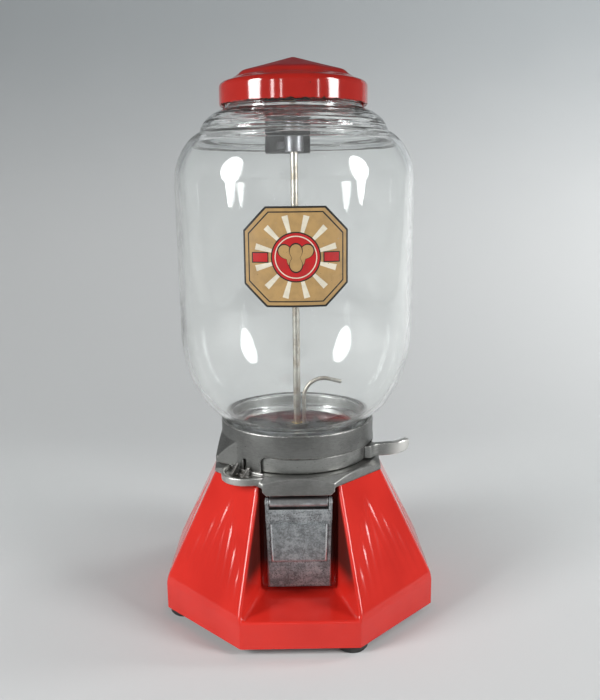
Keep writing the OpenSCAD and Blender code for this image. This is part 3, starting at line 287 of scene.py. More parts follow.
def cast_aluminium(name, tone=1.0, worn=False):
    """Grey cast metal. If worn, edges and the lever's tip are rubbed, corners darker, the coin well painted
    dark as shade.
    """
    material, place, shader = new_material(name, Metallic=1.0)
    cloud = place.noise(22, 4, 0.55)
    grain = place.noise(0.6, 3, 0.6)
    scuff = place.stretch(1, 1, 5).noise(3.5, 4, 0.65)
    tarnish = (0.6 * cloud + 0.25 * scuff + 0.15 * grain).ramp(0.36, 0.66)
    pits = place.noise(1.3, 2).ramp(0.70, 0.78)
    colour = pits.blend(tarnish.blend(*toned(tone, ALUMINIUM_PALE, ALUMINIUM_GREY)), ALUMINIUM_PIT)
    rough = 0.33 + 0.12 * tarnish + 0.05 * grain + 0.25 * pits
    if worn:
        edges, corners = worn_edges(place)
        handled = place.stretch(1, 1, 0).distance(AXIS).ramp(*LEVER_TIP)
        rubbed = edges * place.noise(3, 3).ramp(0.3, 0.6) + handled
        # Corners are darker, and the coin well gets painted shade
        dark_corners_and_well_shade = corners + WELL_SHADE_COVER * (1 - place.distance(COIN_WELL).ramp(*WELL_REACH))
        colour = (HOLLOW_DARK_COVER * dark_corners_and_well_shade).blend(rubbed.blend(colour, ALUMINIUM_RUBBED), CORNER_DARK_AND_WELL_SHADE)
        rough = rough - 0.08 * rubbed + 0.25 * dark_corners_and_well_shade
    feed(shader, Base_Color=colour, Roughness=rough, Normal=bump(grain - 0.6 * pits, 0.05, 0.4))
    return material


# %% [markdown]
# ## Dark zinc, steel, brass, rubber and bristle
#
# The flap is a zinc die casting that has gone dark and blotchy. The rod and screws are plain steel with a
# drawn grain along their length, and the feet and gaskets are black rubber. Each could have one colour,
# but stains make small things look real, so noise mixes two colours and lifts the surface a little.

# %% The zinc
ZINC_PALE, ZINC_GREY = (0.36, 0.385, 0.395), (0.15, 0.16, 0.165)
ZINC_BLACK, ZINC_BRIGHT = (0.02, 0.022, 0.024), (0.62, 0.64, 0.65)


def dark_zinc(name, worn=False):
    """Blotchy dark zinc. If worn, its edges are rubbed bright and its corners are black."""
    material, place, shader = new_material(name, Metallic=0.55)
    cloud = place.noise(9, 4, 0.6)
    speck = place.noise(0.9, 4, 0.7)
    scratch = place.stretch(0.2, 1, 1.4).noise(1.6, 3, 0.6)
    dark = (0.4 * cloud + 0.4 * speck + 0.2 * scratch).ramp(0.40, 0.58)
    spots = speck.ramp(0.58, 0.66)
    colour = (0.75 * spots).blend(dark.blend(ZINC_PALE, ZINC_GREY), ZINC_BLACK)
    rough = 0.42 + 0.2 * dark + 0.15 * spots
    if worn:
        edges, corners = worn_edges(place)
        colour = (edges * place.noise(2.2, 3).ramp(0.25, 0.55)).blend(colour, ZINC_BRIGHT)
        colour = (0.7 * corners).blend(colour, ZINC_BLACK)
    feed(shader, Base_Color=colour, Roughness=rough, Normal=bump(speck - 0.5 * spots, 0.12, 0.5))
    return material


# %% The small metals, the rubber and the bristle
RUBBER_BLACK, RUBBER_DUSTY = (0.012, 0.012, 0.012), (0.045, 0.043, 0.04)
BRISTLE_PALE, BRISTLE_DARK = (0.42, 0.32, 0.19), (0.16, 0.11, 0.06)


def plain_metal(name, pale, dark, roughness):
    """Drawn or rolled metal with stains and a fine grain along its length."""
    material, place, shader = new_material(name, Metallic=1.0)
    stain = place.noise(9, 4, 0.6).ramp(0.35, 0.7)
    lines = place.stretch(1, 1, 0.06).noise(0.5, 2)
    feed(shader, Base_Color=stain.blend(pale, dark), Roughness=roughness + 0.18 * stain,
         Normal=bump(lines, 0.03, 0.3))
    return material


def black_rubber(name):
    """Matt rubber with a little dust."""
    material, place, shader = new_material(name)
    dust = place.noise(5, 4, 0.6).ramp(0.45, 0.75)
    feed(shader, Base_Color=dust.blend(RUBBER_BLACK, RUBBER_DUSTY), Roughness=0.62 + 0.2 * dust,
         Normal=bump(place.noise(0.6, 3), 0.08, 0.4))
    return material


def brush_bristle(name):
    """Upright strands of natural bristle."""
    material, place, shader = new_material(name, Roughness=0.7)
    strands = place.stretch(1, 1, 0.05).noise(0.4, 2)
    feed(shader, Base_Color=strands.blend(BRISTLE_PALE, BRISTLE_DARK), Normal=bump(strands, 0.2, 0.8))
    return material


# %% [markdown]
# ## Glass
#
# The jar is thick pressed glass. It bends light at both of its faces, and its own solid has both, so a
# plain glass shader does the work. A slight waviness breaks up the reflections as on old pressed glass,
# and round the neck the mould left level ripples. Years of use leave a thin film of dust. Shadow rays
# pass straight through, so that the rod and the floor behind the jar aren't left in the dark.

# %% The glass
GLASS_TINT, GLASS_SHADE, GLASS_IOR = (0.985, 0.995, 0.99, 1), (0.95, 0.96, 0.96, 1), 1.48
NECK_FADE = (0.304, 0.309)
FILM, FILM_LEAST, FILM_MORE = (0.80, 0.81, 0.79, 1), 0.012, 0.03


def clear_glass(name):
    """Clear glass with ripples round its neck and a film of dust."""
    material, place, shader = new_material(name, Base_Color=GLASS_TINT, Transmission_Weight=1.0,
                                           IOR=GLASS_IOR, Roughness=0.0)
    neck = place.part("Z").ramp(*NECK_FADE)
    ripples = 4 * place.stretch(0.12, 0.12, 1).noise(7, 2) + 5 * place.stretch(0.03, 0.03, 1).noise(4, 2)
    feed(shader, Normal=bump(0.35 * place.noise(34, 2) + neck * ripples, 1.2, 0.5))
    tree = material.node_tree
    clear = place.node("ShaderNodeBsdfTransparent", Color=GLASS_SHADE)
    dust = place.node("ShaderNodeBsdfDiffuse", Color=FILM)
    film = FILM_LEAST + FILM_MORE * place.noise(26, 4, 0.6).ramp(0.35, 0.75)
    dusty = place.node("ShaderNodeMixShader", i0=film, i1=Wire(tree, shader.outputs[0]), i2=dust)
    shadow = place.node("ShaderNodeLightPath", None, "Is Shadow Ray")
    mixer = place.node("ShaderNodeMixShader", i0=shadow, i1=dusty, i2=clear)
    tree.links.new(mixer.socket, tree.nodes["Material Output"].inputs["Surface"])
    return material


# %% [markdown]
# ## Finishes for the solids
#
# The record names each solid's finish. Small or hidden pieces could be modelled anew, but their solids
# have the right shape, so a good material is all they need. The lock's steel is darker.

# %% Give the finishes to the solids
METALS = {
    "steel": ((0.46, 0.44, 0.40), (0.22, 0.19, 0.15), 0.3),
    "sheet_steel": ((0.50, 0.51, 0.52), (0.28, 0.28, 0.28), 0.38),
    "dark_steel": ((0.16, 0.16, 0.17), (0.06, 0.06, 0.06), 0.4),
    "lock_steel": ((0.05, 0.05, 0.052), (0.02, 0.02, 0.02), 0.5),
    "brass": ((0.72, 0.53, 0.22), (0.42, 0.28, 0.11), 0.3),
}
OTHER_FINISHES = {
    "red_enamel": red_enamel,
    "cast_aluminium": cast_aluminium,
    "black_rubber": black_rubber,
    "zinc": dark_zinc,
    "glass": clear_glass,
    "bristle": brush_bristle,
}
LOCK_FINISHES = dict.fromkeys(("lock_bolt", "lock_screws", "rod_keeper"), "dark_steel")
LOCK_FINISHES["lock_case"] = "lock_steel"


def dress(piece, material):
    """Give a piece one material."""
    piece.data.materials.clear()
    piece.data.materials.append(material)


finishes = {name: plain_metal(name, *look) for name, look in METALS.items()}
finishes.update((name, make(name)) for name, make in OTHER_FINISHES.items())
for subpart in frame["record"]["subparts"]:
    finish = LOCK_FINISHES.get(subpart["node"], subpart["material_slot"])
    dress(nodes[subpart["node"]], finishes[finish])
print("finishes:", len(finishes))

# %% [markdown]
# ## Tools for modelling by hand
#
# The pieces below are modelled as at the screen: start from a primitive, go into edit mode, select by
# place, extrude, inset and bevel, then finish with modifiers. These helpers do the selecting and
# finishing, so a piece's own cells hold only its shape.

# %% Helpers for picking things up
def start_afresh():
    """Leave edit mode and deselect everything."""
    if bpy.context.mode != "OBJECT":
        bpy.ops.object.mode_set(mode="OBJECT")
    bpy.ops.object.select_all(action="DESELECT")


def take(piece, mode="OBJECT"):
    """Make one piece the selected and active one, in a mode."""
    start_afresh()
    piece.select_set(True)
    bpy.context.view_layer.objects.active = piece
    bpy.ops.object.mode_set(mode=mode)
    if mode == "EDIT":
        bpy.ops.mesh.select_mode(type="VERT")


def name_new(name):
    """Name the piece that was just added and put its place into its mesh."""
    piece = bpy.context.object
    piece.name = name
    piece.data.name = name
    bpy.ops.object.transform_apply(location=True, rotation=True, scale=True)
    return piece


# %% Helpers for edit mode
SELECT_MODES = {"verts": "VERT", "edges": "EDGE", "faces": "FACE"}


def select_all():
    """Select the whole mesh."""
    bpy.ops.mesh.select_all(action="SELECT")


def pick(piece, kind, test):
    """Select the verts, edges or faces that pass a test."""
    bpy.ops.mesh.select_mode(type=SELECT_MODES[kind])
    bpy.ops.mesh.select_all(action="DESELECT")
    shape = bmesh.from_edit_mesh(piece.data)
    for part in getattr(shape, kind):
        if test(part):
            part.select_set(True)
    bmesh.update_edit_mesh(piece.data)


def extrude(x=0.0, y=0.0, z=0.0):
    """Extrude what is selected, by metres along the axes."""
    bpy.ops.mesh.extrude_region_move(TRANSFORM_OT_translate={"value": (x, y, z)})


def reshape(piece, rule):
    """Move each selected point to where a rule puts it, and count them."""
    shape = bmesh.from_edit_mesh(piece.data)
    points = [v for v in shape.verts if v.select]
    for point in points:
        point.co = rule(point.co)
    bmesh.update_edit_mesh(piece.data)
    return len(points)


def face_outwards():
    """Turn all faces outwards."""
    select_all()
    bpy.ops.mesh.normals_make_consistent(inside=False)


def count_faces(piece):
    """How many faces the mesh has so far."""
    return len(bmesh.from_edit_mesh(piece.data).faces)


# %% Helpers for finishing
def apply_modifier(piece, kind, **settings):
    """Add one modifier and apply it."""
    take(piece)
    modifier = piece.modifiers.new(kind.lower(), kind)
    for key, value in settings.items():
        setattr(modifier, key, value)
    bpy.ops.object.modifier_apply(modifier=modifier.name)


def smooth(piece, degrees=35):
    """Shade smooth across soft edges, with flat faces kept flat."""
    take(piece)
    bpy.ops.object.shade_smooth_by_angle(angle=math.radians(degrees))
    apply_modifier(piece, "WEIGHTED_NORMAL", keep_sharp=True)


def settle(piece, body, slot, material, *stands_for):
    """Give a finished piece its material, its body and the solids that it stands for; its slot is not used.
    """
    start_afresh()
    dress(piece, material)
    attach(piece, body)
    if stands_for:
        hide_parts(*stands_for)
    print(piece.name, len(piece.data.polygons), "faces")


# %% [markdown]
# ## The enamelled base
#
# The base is one cast or pressed shell with soft corners under its enamel. A sharp solid looks wrong at
# once, because enamel lives by the bright lines on its rounded edges. It could be sculpted, but eight
# flat faces are quicker to block out from a ring of eight points. The front is then pushed in for the
# hand.

# %% Block out the base
BASE_LOW, SKIRT_TOP, SHELL_TOP = 5.0, 25.0, 94.0
BASE_HALF_W, TOP_HALF_W = 87.5, 54.5
EIGHTH = math.pi / 4

start_afresh()
bpy.ops.mesh.primitive_circle_add(vertices=8, radius=BASE_HALF_W * MM / math.cos(EIGHTH / 2),
                                  location=(0, 0, BASE_LOW * MM), rotation=(0, 0, EIGHTH / 2))
base = name_new("enamel_base")
take(base, "EDIT")
select_all()
for rise, spread in ((SKIRT_TOP - BASE_LOW, 1), (SHELL_TOP - SKIRT_TOP, TOP_HALF_W / BASE_HALF_W)):
    extrude(z=rise * MM)
    bpy.ops.transform.resize(value=(spread, spread, 1))
face_outwards()
print("blocked out:", count_faces(base), "faces")

# %% Push in the front face
RECESS_BACK, RECESS_HALF_W, RECESS_FLOOR, RECESS_TOP_OUT = 47.0, 23.5, 23.6, 3.7
FLOOR_FRONT, MID_HEIGHT, FIRST_PUSH = 22.4, 50.0, 20.0
FRONT_SKIRT_Y, FRONT_SLOPE_Y, FRONT_TOP_Y, UPPER_Z = -0.080, -0.060, -0.050, 0.090
HAIR, FACING, LEANING = 1e-4, 0.01, 0.1


def on_recess_wall(half_w, low, top):
    """A rule that puts a face's corners on an upright rectangle at the back of the recess."""
    def corner_place(corner):
        height = low if corner.z < MID_HEIGHT * MM else top
        return Vector((math.copysign(half_w, corner.x), -RECESS_BACK, height)) * MM

    return corner_place


def is_front_slope(face):
    """True for the sloped face that looks at the customer."""
    near = face.calc_center_median().y < FRONT_SLOPE_Y
    return near and abs(face.normal.x) < FACING and face.normal.z > LEANING


pick(base, "verts", lambda v: v.co.y < FRONT_SKIRT_Y and abs(v.co.z - SKIRT_TOP * MM) < HAIR)
bpy.ops.transform.translate(value=(0, 0, (FLOOR_FRONT - SKIRT_TOP) * MM))
aside = RECESS_TOP_OUT * MM * math.cos(EIGHTH)
for side in (-1, 1):
    pick(base, "verts", lambda v: v.co.z > UPPER_Z and v.co.y < FRONT_TOP_Y and v.co.x * side > 0)
    bpy.ops.transform.translate(value=(side * aside, aside, 0))
pick(base, "faces", is_front_slope)
extrude(y=FIRST_PUSH * MM)
reshape(base, on_recess_wall(RECESS_HALF_W, RECESS_FLOOR, SHELL_TOP))
pick(base, "faces", lambda f: all(v.co.z > SHELL_TOP * MM - HAIR for v in f.verts))
bpy.ops.mesh.delete(type="FACE")
print("with the recess:", count_faces(base), "faces")

# %% Open the back wall for the outlet
OUTLET_HALF_W, OUTLET_LOW, OUTLET_TOP, OUTLET_INSET = 19.4, 27.4, 80.0, 3.0

pick(base, "faces", lambda f: all(abs(v.co.y + RECESS_BACK * MM) < HAIR for v in f.verts))
bpy.ops.mesh.inset(thickness=OUTLET_INSET * MM)
reshape(base, on_recess_wall(OUTLET_HALF_W, OUTLET_LOW, OUTLET_TOP))
bpy.ops.mesh.delete(type="FACE")
print("with the outlet:", count_faces(base), "faces")

# %% [markdown]
# The edges could be rounded one after another, but a Bevel modifier does them all and reads a weight on
# each: wide where the skirt turns into the slope, narrower at the corners, and tight along the skirt's
# upright corners.

# %% Round the edges
ROUND_MM, ROUND_SEGMENTS = 3.4, 4
ROUND_SHARE = {"skirt": 0.3, "recess": 0.62, "corner": 0.55, "lip": 0.5, "floor": 0.7, "bend": 1.0}
SKIRT_LOW_Z, FRONT_EDGE_Y, FRONT_HALF_W, BACK_MARGIN = 0.010, -0.087, 0.040, 1.0


def edge_roundness(edge):
    """Share of the widest rounding that an edge of the base gets."""
    a, b = (v.co for v in edge.verts)
    low, high = sorted((a.z, b.z))
    back, front, out = max(a.y, b.y), min(a.y, b.y), max(abs(a.x), abs(b.x))
    at_back = back > -(RECESS_BACK + BACK_MARGIN) * MM and out < (RECESS_HALF_W + BACK_MARGIN) * MM
    if edge.is_boundary:
        return 0.0
    if low < SKIRT_LOW_Z:
        return ROUND_SHARE["skirt"]
    if high > UPPER_Z:
        at_front = out < FRONT_HALF_W and front < FRONT_SKIRT_Y
        return ROUND_SHARE["recess" if at_front or at_back else "corner"]
    if front < FRONT_EDGE_Y and abs(a.y - b.y) < HAIR:
        return ROUND_SHARE["lip"]
    return ROUND_SHARE["floor" if at_back else "bend"]


shape = bmesh.from_edit_mesh(base.data)
weights = shape.edges.layers.float.new("bevel_weight_edge")
for edge in shape.edges:
    edge[weights] = edge_roundness(edge)
bmesh.update_edit_mesh(base.data)
apply_modifier(base, "BEVEL", width=ROUND_MM * MM, segments=ROUND_SEGMENTS, limit_method="WEIGHT")
take(base, "EDIT")
select_all()
bpy.ops.mesh.bisect(plane_co=(0, 0, SHELL_TOP * MM), plane_no=(0, 0, 1), clear_outer=True)
print("rounded:", count_faces(base), "faces")

# %% [markdown]
# ## The flutes
#
# Each sloped face but the front carries two fans of shallow flutes. Their tops are rounded like the bowl
# of a spoon and step down towards the corners, and they run out at the skirt. They could be cut with
# cylinders, but enamel flows into every groove, so the faces are subdivided finely and each point sinks
# by a smooth formula.

# %% The depth of the flutes
FLUTE_PITCH, FLUTE_START, FLUTE_DEPTH, FLUTE_HALF_W = 6.5, 9.0, 0.62, 3.6
FLUTE_TOPS = (0.90, 0.74, 0.58, 0.43)
FLUTE_TIP, FLUTE_SWELL, RUN_OUT_POWER = 0.55, 0.45, 0.8
SPOON, FAN = 13.0, 11.5
SLOPE_L = math.hypot(SHELL_TOP - SKIRT_TOP, BASE_HALF_W - TOP_HALF_W)


def ease(value, low, high):
    """0 below low, 1 above high, smooth between."""
    share = min(1, max(0, (value - low) / (high - low)))
    return share * share * (3 - 2 * share)


def flute_sink(across, up):
    """Depth of the flutes at a place on a face: mm from its middle and mm up the slope."""
    sink = 0.0
    for index, top_share in enumerate(FLUTE_TOPS):
        top = top_share * SLOPE_L
        middle = FLUTE_START + FLUTE_PITCH * index - FAN * up / SLOPE_L
        spread = FLUTE_HALF_W * (FLUTE_TIP + FLUTE_SWELL * ease(top - up, 0, SPOON))
        shape_across = max(0, 1 - ((abs(across) - middle) / spread) ** 2) ** 2
        shape_along = ease(top - up, 0, SPOON) * max(0, up / top) ** RUN_OUT_POWER
        sink += FLUTE_DEPTH * shape_across * shape_along
    return sink


# %% Sink the flutes
SLOPE_TURN = math.atan2(BASE_HALF_W - TOP_HALF_W, SHELL_TOP - SKIRT_TOP)
FLUTE_CUTS, LEAST_AREA, LEAST_LEAN, MOST_LEAN = 69, 1.5e-3, 0.2, 0.8


def is_sloped(face):
    """True for the large faces between the skirt and the top."""
    return face.calc_area() > LEAST_AREA and LEAST_LEAN < face.normal.z < MOST_LEAN and len(face.verts) == 4


def sunk(point):
    """Where a point of a sloped face lies once the flutes are pressed in."""
    turn = round(math.atan2(point.y, point.x) / EIGHTH) * EIGHTH
    outwards = Vector((math.cos(turn), math.sin(turn), 0))
    across = point.dot(Vector((-outwards.y, outwards.x, 0))) / MM
    up = (point.z / MM - SKIRT_TOP) / math.cos(SLOPE_TURN)
    inwards = -(outwards * math.cos(SLOPE_TURN) + Vector((0, 0, math.sin(SLOPE_TURN))))
    return point + inwards * flute_sink(across, up) * MM


take(base, "EDIT")
pick(base, "faces", is_sloped)
bpy.ops.mesh.subdivide(number_cuts=FLUTE_CUTS)
print("sloped points:", reshape(base, sunk))

# %% Thicken the shell
SHELL_WALL, BASE_COAT_ROUGH, SOFT_EDGE = 2.2, 0.13, 40

face_outwards()
apply_modifier(base, "SOLIDIFY", thickness=SHELL_WALL * MM, offset=-1)
smooth(base, SOFT_EDGE)
# The base's enamel carries the painted shade in its recess
base_enamel = red_enamel("base_enamel", shaded_recess=True, coat_rough=BASE_COAT_ROUGH)
settle(base, "frame", "red_enamel", base_enamel, "base_shell")

# %% [markdown]
# ## The lid
#
# The lid is pressed sheet under the same enamel. Its rim is round and its peak has eight sides, with a
# soft hollow between them. A cone set on a cylinder would leave a hard edge there, so the lid is drawn up
# ring by ring, and each ring is a blend of a circle and a soft-cornered octagon.

# %% Draw up the lid
LID_RINGS = (
    (45.9, 326.6, 0), (46.4, 327.1, 0), (46.4, 332.0, 0), (46.4, 337.0, 0), (46.2, 338.4, 0),
    (45.6, 339.5, 0), (44.5, 340.3, 0), (42.6, 340.9, 0.05), (40.4, 341.5, 0.2), (38.2, 342.2, 0.5),
    (36.4, 343.0, 0.8), (35.0, 343.6, 1), (33.9, 344.5, 1), (33.1, 345.3, 1), (32.2, 346.1, 1),
    (31.0, 346.8, 1), (29.4, 347.4, 1), (26.5, 348.2, 1), (20.0, 350.1, 1), (12.0, 352.5, 1),
    (6.0, 354.4, 0.9), (3.0, 355.3, 0.5), (1.2, 355.8, 0),
)
LID_STEPS, LID_WALL = 160, 1.5
CORNER_POWER = 34
RIM_R, RIM_LOW = LID_RINGS[0][:2]


def on_ring(point, half_w, height, eightness):
    """A point's place on a ring in mm that is a circle at 0 and a soft octagon at 1."""
    turn = math.atan2(point.y, point.x)
    sides = sum(abs(math.cos(turn - k * EIGHTH)) ** CORNER_POWER for k in range(4))
    octagon_reach = half_w / sides ** (1 / CORNER_POWER)
    reach = half_w + (octagon_reach - half_w) * eightness
    return Vector((reach * math.cos(turn), reach * math.sin(turn), height)) * MM


start_afresh()
bpy.ops.mesh.primitive_circle_add(vertices=LID_STEPS, radius=RIM_R * MM, location=(0, 0, RIM_LOW * MM))
lid = name_new("enamel_lid")
take(lid, "EDIT")
select_all()
for ring in LID_RINGS[1:]:
    extrude()
    reshape(lid, lambda point: on_ring(point, *ring))
bpy.ops.mesh.edge_face_add()
bpy.ops.mesh.poke()
face_outwards()
print("lid:", count_faces(lid), "faces")
apply_modifier(lid, "SOLIDIFY", thickness=LID_WALL * MM, offset=-1)

# %% Cut the keyhole
PLUG_X, PLUG_Y, PLUG_HOLE_R = -4.0, 14.2, 5.6
CUTTER_MIDDLE, CUTTER_H, CUTTER_SIDES = 352.0, 20.0, 48
CHIP_REACH, LID_TONE, LID_COAT_ROUGH, LID_COAT_IOR = 1.1, 0.60, 0.09, 1.62

start_afresh()
bpy.ops.mesh.primitive_cylinder_add(vertices=CUTTER_SIDES, radius=PLUG_HOLE_R * MM, depth=CUTTER_H * MM,
                                    location=(PLUG_X * MM, PLUG_Y * MM, CUTTER_MIDDLE * MM))
cutter = name_new("keyhole_cutter")
apply_modifier(lid, "BOOLEAN", operation="DIFFERENCE", object=cutter, solver="EXACT")
bpy.data.objects.remove(cutter)
smooth(lid, SOFT_EDGE)
# The lid's enamel has chips at its rim and painted shade on its peak
lid_enamel = red_enamel("lid_enamel", LID_TONE, coat_rough=LID_COAT_ROUGH, coat_ior=LID_COAT_IOR,
                        chips=(RIM_LOW * MM, CHIP_REACH * MM))
settle(lid, "lid", "red_enamel", lid_enamel, "lid")

# %% [markdown]
# ## The globe
#
# A pressed jar is round all the way up. A sphere would have to be pulled into its crease and neck, so its
# outline is drawn once and spun about the axis, up the outside and down the inside. That gives the glass
# its real thickness for light to bend in.

# %% Draw the glass's outline
GLOBE_Z, GLOBE_H, GLASS_T, NECK_T = 116.1, 220.7, 3.2, 6.4
GLOBE_R, FOOT_R, MOUTH_R, CREASE_R, THROAT_R = 76.0, 47.5, 43.2, 60.0, 37.5
BOWL = (34.0, 70.0, 41.5, 62.0)
SHOULDER = (50.0, 163.9, 26.0, 33.0)
DOME = (36.0, 191.9, 23.6, 17.5)
BOWL_STEPS, SHOULDER_STEPS, DOME_STEPS = 20, 16, 12
CREASE_STEP, FOOT_LIFT, INNER_FLOOR = 0.4, 0.4, 4.6
LIP = ((0, 0.9), (0.3, 0.3), (1, 0))
FLANGE_T, FLANGE_ROUND = 3.6, 0.5


def arc(centre_x, centre_z, reach_x, reach_z, start, end, steps):
    """Points on an ellipse between two angles."""
    turns = [start + (end - start) * i / steps for i in range(steps + 1)]
    return [(centre_x + reach_x * math.cos(t), centre_z + reach_z * math.sin(t)) for t in turns]


def drawn_in(form, depth):
    """An ellipse with both of its reaches made shorter."""
    return form[0], form[1], form[2] - depth, form[3] - depth


def glass_side(inset, foot_r, foot_z):
    """One side of the glass from its foot to its mouth, as radius and height, drawn in by an inset."""
    bowl, shoulder = drawn_in(BOWL, inset), drawn_in(SHOULDER, inset)
    dome = drawn_in(DOME, inset * NECK_T / GLASS_T)
    crease, mouth = CREASE_R - inset, MOUTH_R - inset
    side = [(foot_r, foot_z)]
    side += arc(*bowl, -math.acos((foot_r - bowl[0]) / bowl[2]), 0, BOWL_STEPS)
    side += arc(*shoulder, 0, math.acos((crease - shoulder[0]) / shoulder[2]), SHOULDER_STEPS)
    dome_start = math.acos(min(1, (crease - CREASE_STEP - dome[0]) / dome[2]))
    side += arc(*dome, dome_start, math.acos((mouth - dome[0]) / dome[2]), DOME_STEPS)
    return side


outside = glass_side(0, FOOT_R, FOOT_LIFT)
inside = glass_side(GLASS_T, FOOT_R - GLASS_T, INNER_FLOOR)
lip = [(MOUTH_R - inwards, GLOBE_H - down) for inwards, down in LIP]
lip += [(MOUTH_R - GLASS_T + outwards, GLOBE_H - down) for outwards, down in LIP[::-1]]
flange = [(THROAT_R + FLANGE_ROUND, FLANGE_T), (THROAT_R, FLANGE_T - FLANGE_ROUND),
          (THROAT_R, FLANGE_ROUND), (THROAT_R + FLANGE_ROUND, 0), (FOOT_R - FLANGE_ROUND, 0),
          (FOOT_R, FOOT_LIFT)]
glass_outline = outside + lip + inside[::-1] + flange
print("outline points:", len(glass_outline))

# %% Spin the glass
GLASS_STEPS, GLASS_SOFT_EDGE = 160, 50
SEED_SIZE, DOUBLE = 0.001, 1e-6


def spin_outline(name, outline, steps):
    """Draw an outline point by point, as radius and height in mm, and spin it about the axis."""
    start_afresh()
    first = Vector((outline[0][0], 0, outline[0][1])) * MM
    bpy.ops.mesh.primitive_plane_add(size=SEED_SIZE, location=first)
    piece = name_new(name)
    take(piece, "EDIT")
    select_all()
    bpy.ops.mesh.merge(type="CENTER")
    for (r0, z0), (r1, z1) in zip(outline, outline[1:]):
        extrude(x=(r1 - r0) * MM, z=(z1 - z0) * MM)
    select_all()
    bpy.ops.mesh.spin(steps=steps, angle=2 * math.pi, center=(0, 0, 0), axis=(0, 0, 1))
    select_all()
    bpy.ops.mesh.remove_doubles(threshold=DOUBLE)
    face_outwards()
    return piece


jar = spin_outline("glass_jar", [(r, z + GLOBE_Z) for r, z in glass_outline], GLASS_STEPS)
smooth(jar, GLASS_SOFT_EDGE)
settle(jar, "frame", "glass", finishes["glass"], "globe")

# %% [markdown]
# ## Softened castings
#
# The castings have the right shapes already, but a sand casting has no sharp edge anywhere. A Bevel
# modifier would trip over their many small cuts. So each solid is copied, recast as an even skin of small
# faces by a Remesh modifier, smoothed until its edges are round, and thinned again where it is flat.

# %% Soften the castings
CASTING_DOUBLE, SMOOTHING = 2e-6, 0.5
BRIGHT_TONE, COLLAR_TONE = 1.15, 0.8


def softened(node, name, grain_mm, passes, keep):
    """A copy of a solid with its edges worn round."""
    start_afresh()
    piece = bpy.data.objects.new(name, nodes[node].data.copy())
    piece.data.name = name
    scene.collection.objects.link(piece)
    take(piece, "EDIT")
    select_all()
    bpy.ops.mesh.remove_doubles(threshold=CASTING_DOUBLE)
    apply_modifier(piece, "REMESH", mode="VOXEL", voxel_size=grain_mm * MM)
    apply_modifier(piece, "SMOOTH", factor=SMOOTHING, iterations=passes)
    apply_modifier(piece, "DECIMATE", ratio=keep)
    bpy.ops.object.shade_smooth()
    return piece


aluminium = cast_aluminium("worn_aluminium", BRIGHT_TONE, worn=True)
zinc = dark_zinc("worn_zinc", worn=True)
dull_aluminium = cast_aluminium("collar_aluminium", COLLAR_TONE, worn=True)
CASTINGS = {
    "top_casting": ("octagon_casting", 0.5, 6, 0.35, "frame", "cast_aluminium", aluminium),
    "collar": ("globe_collar", 0.5, 5, 0.35, "frame", "cast_aluminium", dull_aluminium),
    "drive_ring": ("lever_ring", 0.5, 8, 0.4, "rotor", "cast_aluminium", aluminium),
    "flap_door": ("outlet_flap", 0.3, 4, 0.4, "flap", "zinc", zinc),
    "door_frame": ("outlet_frame", 0.4, 4, 0.4, "frame", "zinc", finishes["sheet_steel"]),
}
castings = {}
for node, (name, grain_mm, passes, keep, body, slot, metal) in CASTINGS.items():
    castings[node] = softened(node, name, grain_mm, passes, keep)
    settle(castings[node], body, slot, metal, node)

# %% [markdown]
# ## The flap's raised panel and the coin fins
#
# The flap carries a raised panel with bevelled sides that flash white in the light, and two pointed fins
# stand on the coin shelf, one on each side of the notch. A box for each would have to be cut to shape.
# All three are flat shapes given a thickness, so one helper draws their outlines.

# %% A helper for flat outlines
def flat_shape(name, points, depth):
    """One face with its corners at these places, as mm across and up, standing upright at a depth in mm."""
    start_afresh()
    bpy.ops.mesh.primitive_circle_add(vertices=len(points), radius=MM, fill_type="NGON")
    piece = name_new(name)
    take(piece, "EDIT")
    shape = bmesh.from_edit_mesh(piece.data)
    shape.verts.ensure_lookup_table()
    for corner, (across, up) in zip(shape.verts, points):
        corner.co = Vector((across, depth, up)) * MM
    bmesh.update_edit_mesh(piece.data)
    select_all()
    return piece


# %% The panel's metal
PANEL_TOP, PANEL_LOW, PANEL_TOP_HALF_W, PANEL_LOW_HALF_W = 70.6, 44.8, 18.3, 17.5
PANEL_SEAT, PANEL_RISE, PANEL_SLANT = -54.2, 0.55, 1.5
SIDE_SHARE, LOW_EDGE, LOW_EDGE_COVER = 0.8, (0.0006, 0.0011), 0.6


def polished_panel(name):
    """Mottled zinc with its slanted sides and low edge rubbed bright."""
    material, place, shader = new_material(name, Metallic=0.7)
    up = place.part("Z") - PANEL_LOW * MM
    taper = (PANEL_TOP_HALF_W - PANEL_LOW_HALF_W) / (PANEL_TOP - PANEL_LOW)
    side = abs(place.part("X")) - taper * up - PANEL_LOW_HALF_W * MM
    sides = side.ramp(-PANEL_SLANT * MM, -SIDE_SHARE * PANEL_SLANT * MM)
    band = sides + LOW_EDGE_COVER * (1 - up.ramp(*LOW_EDGE))
    rubbed = band * place.noise(2.6, 3).ramp(0.25, 0.5)
    speck = place.noise(1.2, 4, 0.75)
    dark = (0.45 * place.noise(5, 4, 0.6) + 0.55 * speck).ramp(0.38, 0.62)
    colour = rubbed.blend(dark.blend(ZINC_PALE, ZINC_GREY), ZINC_BRIGHT)
    feed(shader, Base_Color=colour, Roughness=0.34 - 0.12 * rubbed, Normal=bump(speck, 0.10, 0.4))
    return material


# %% The flap's panel
PANEL_ROUND, ROUND_STEPS, PANEL_DOUBLE = 0.4, 3, 1e-7

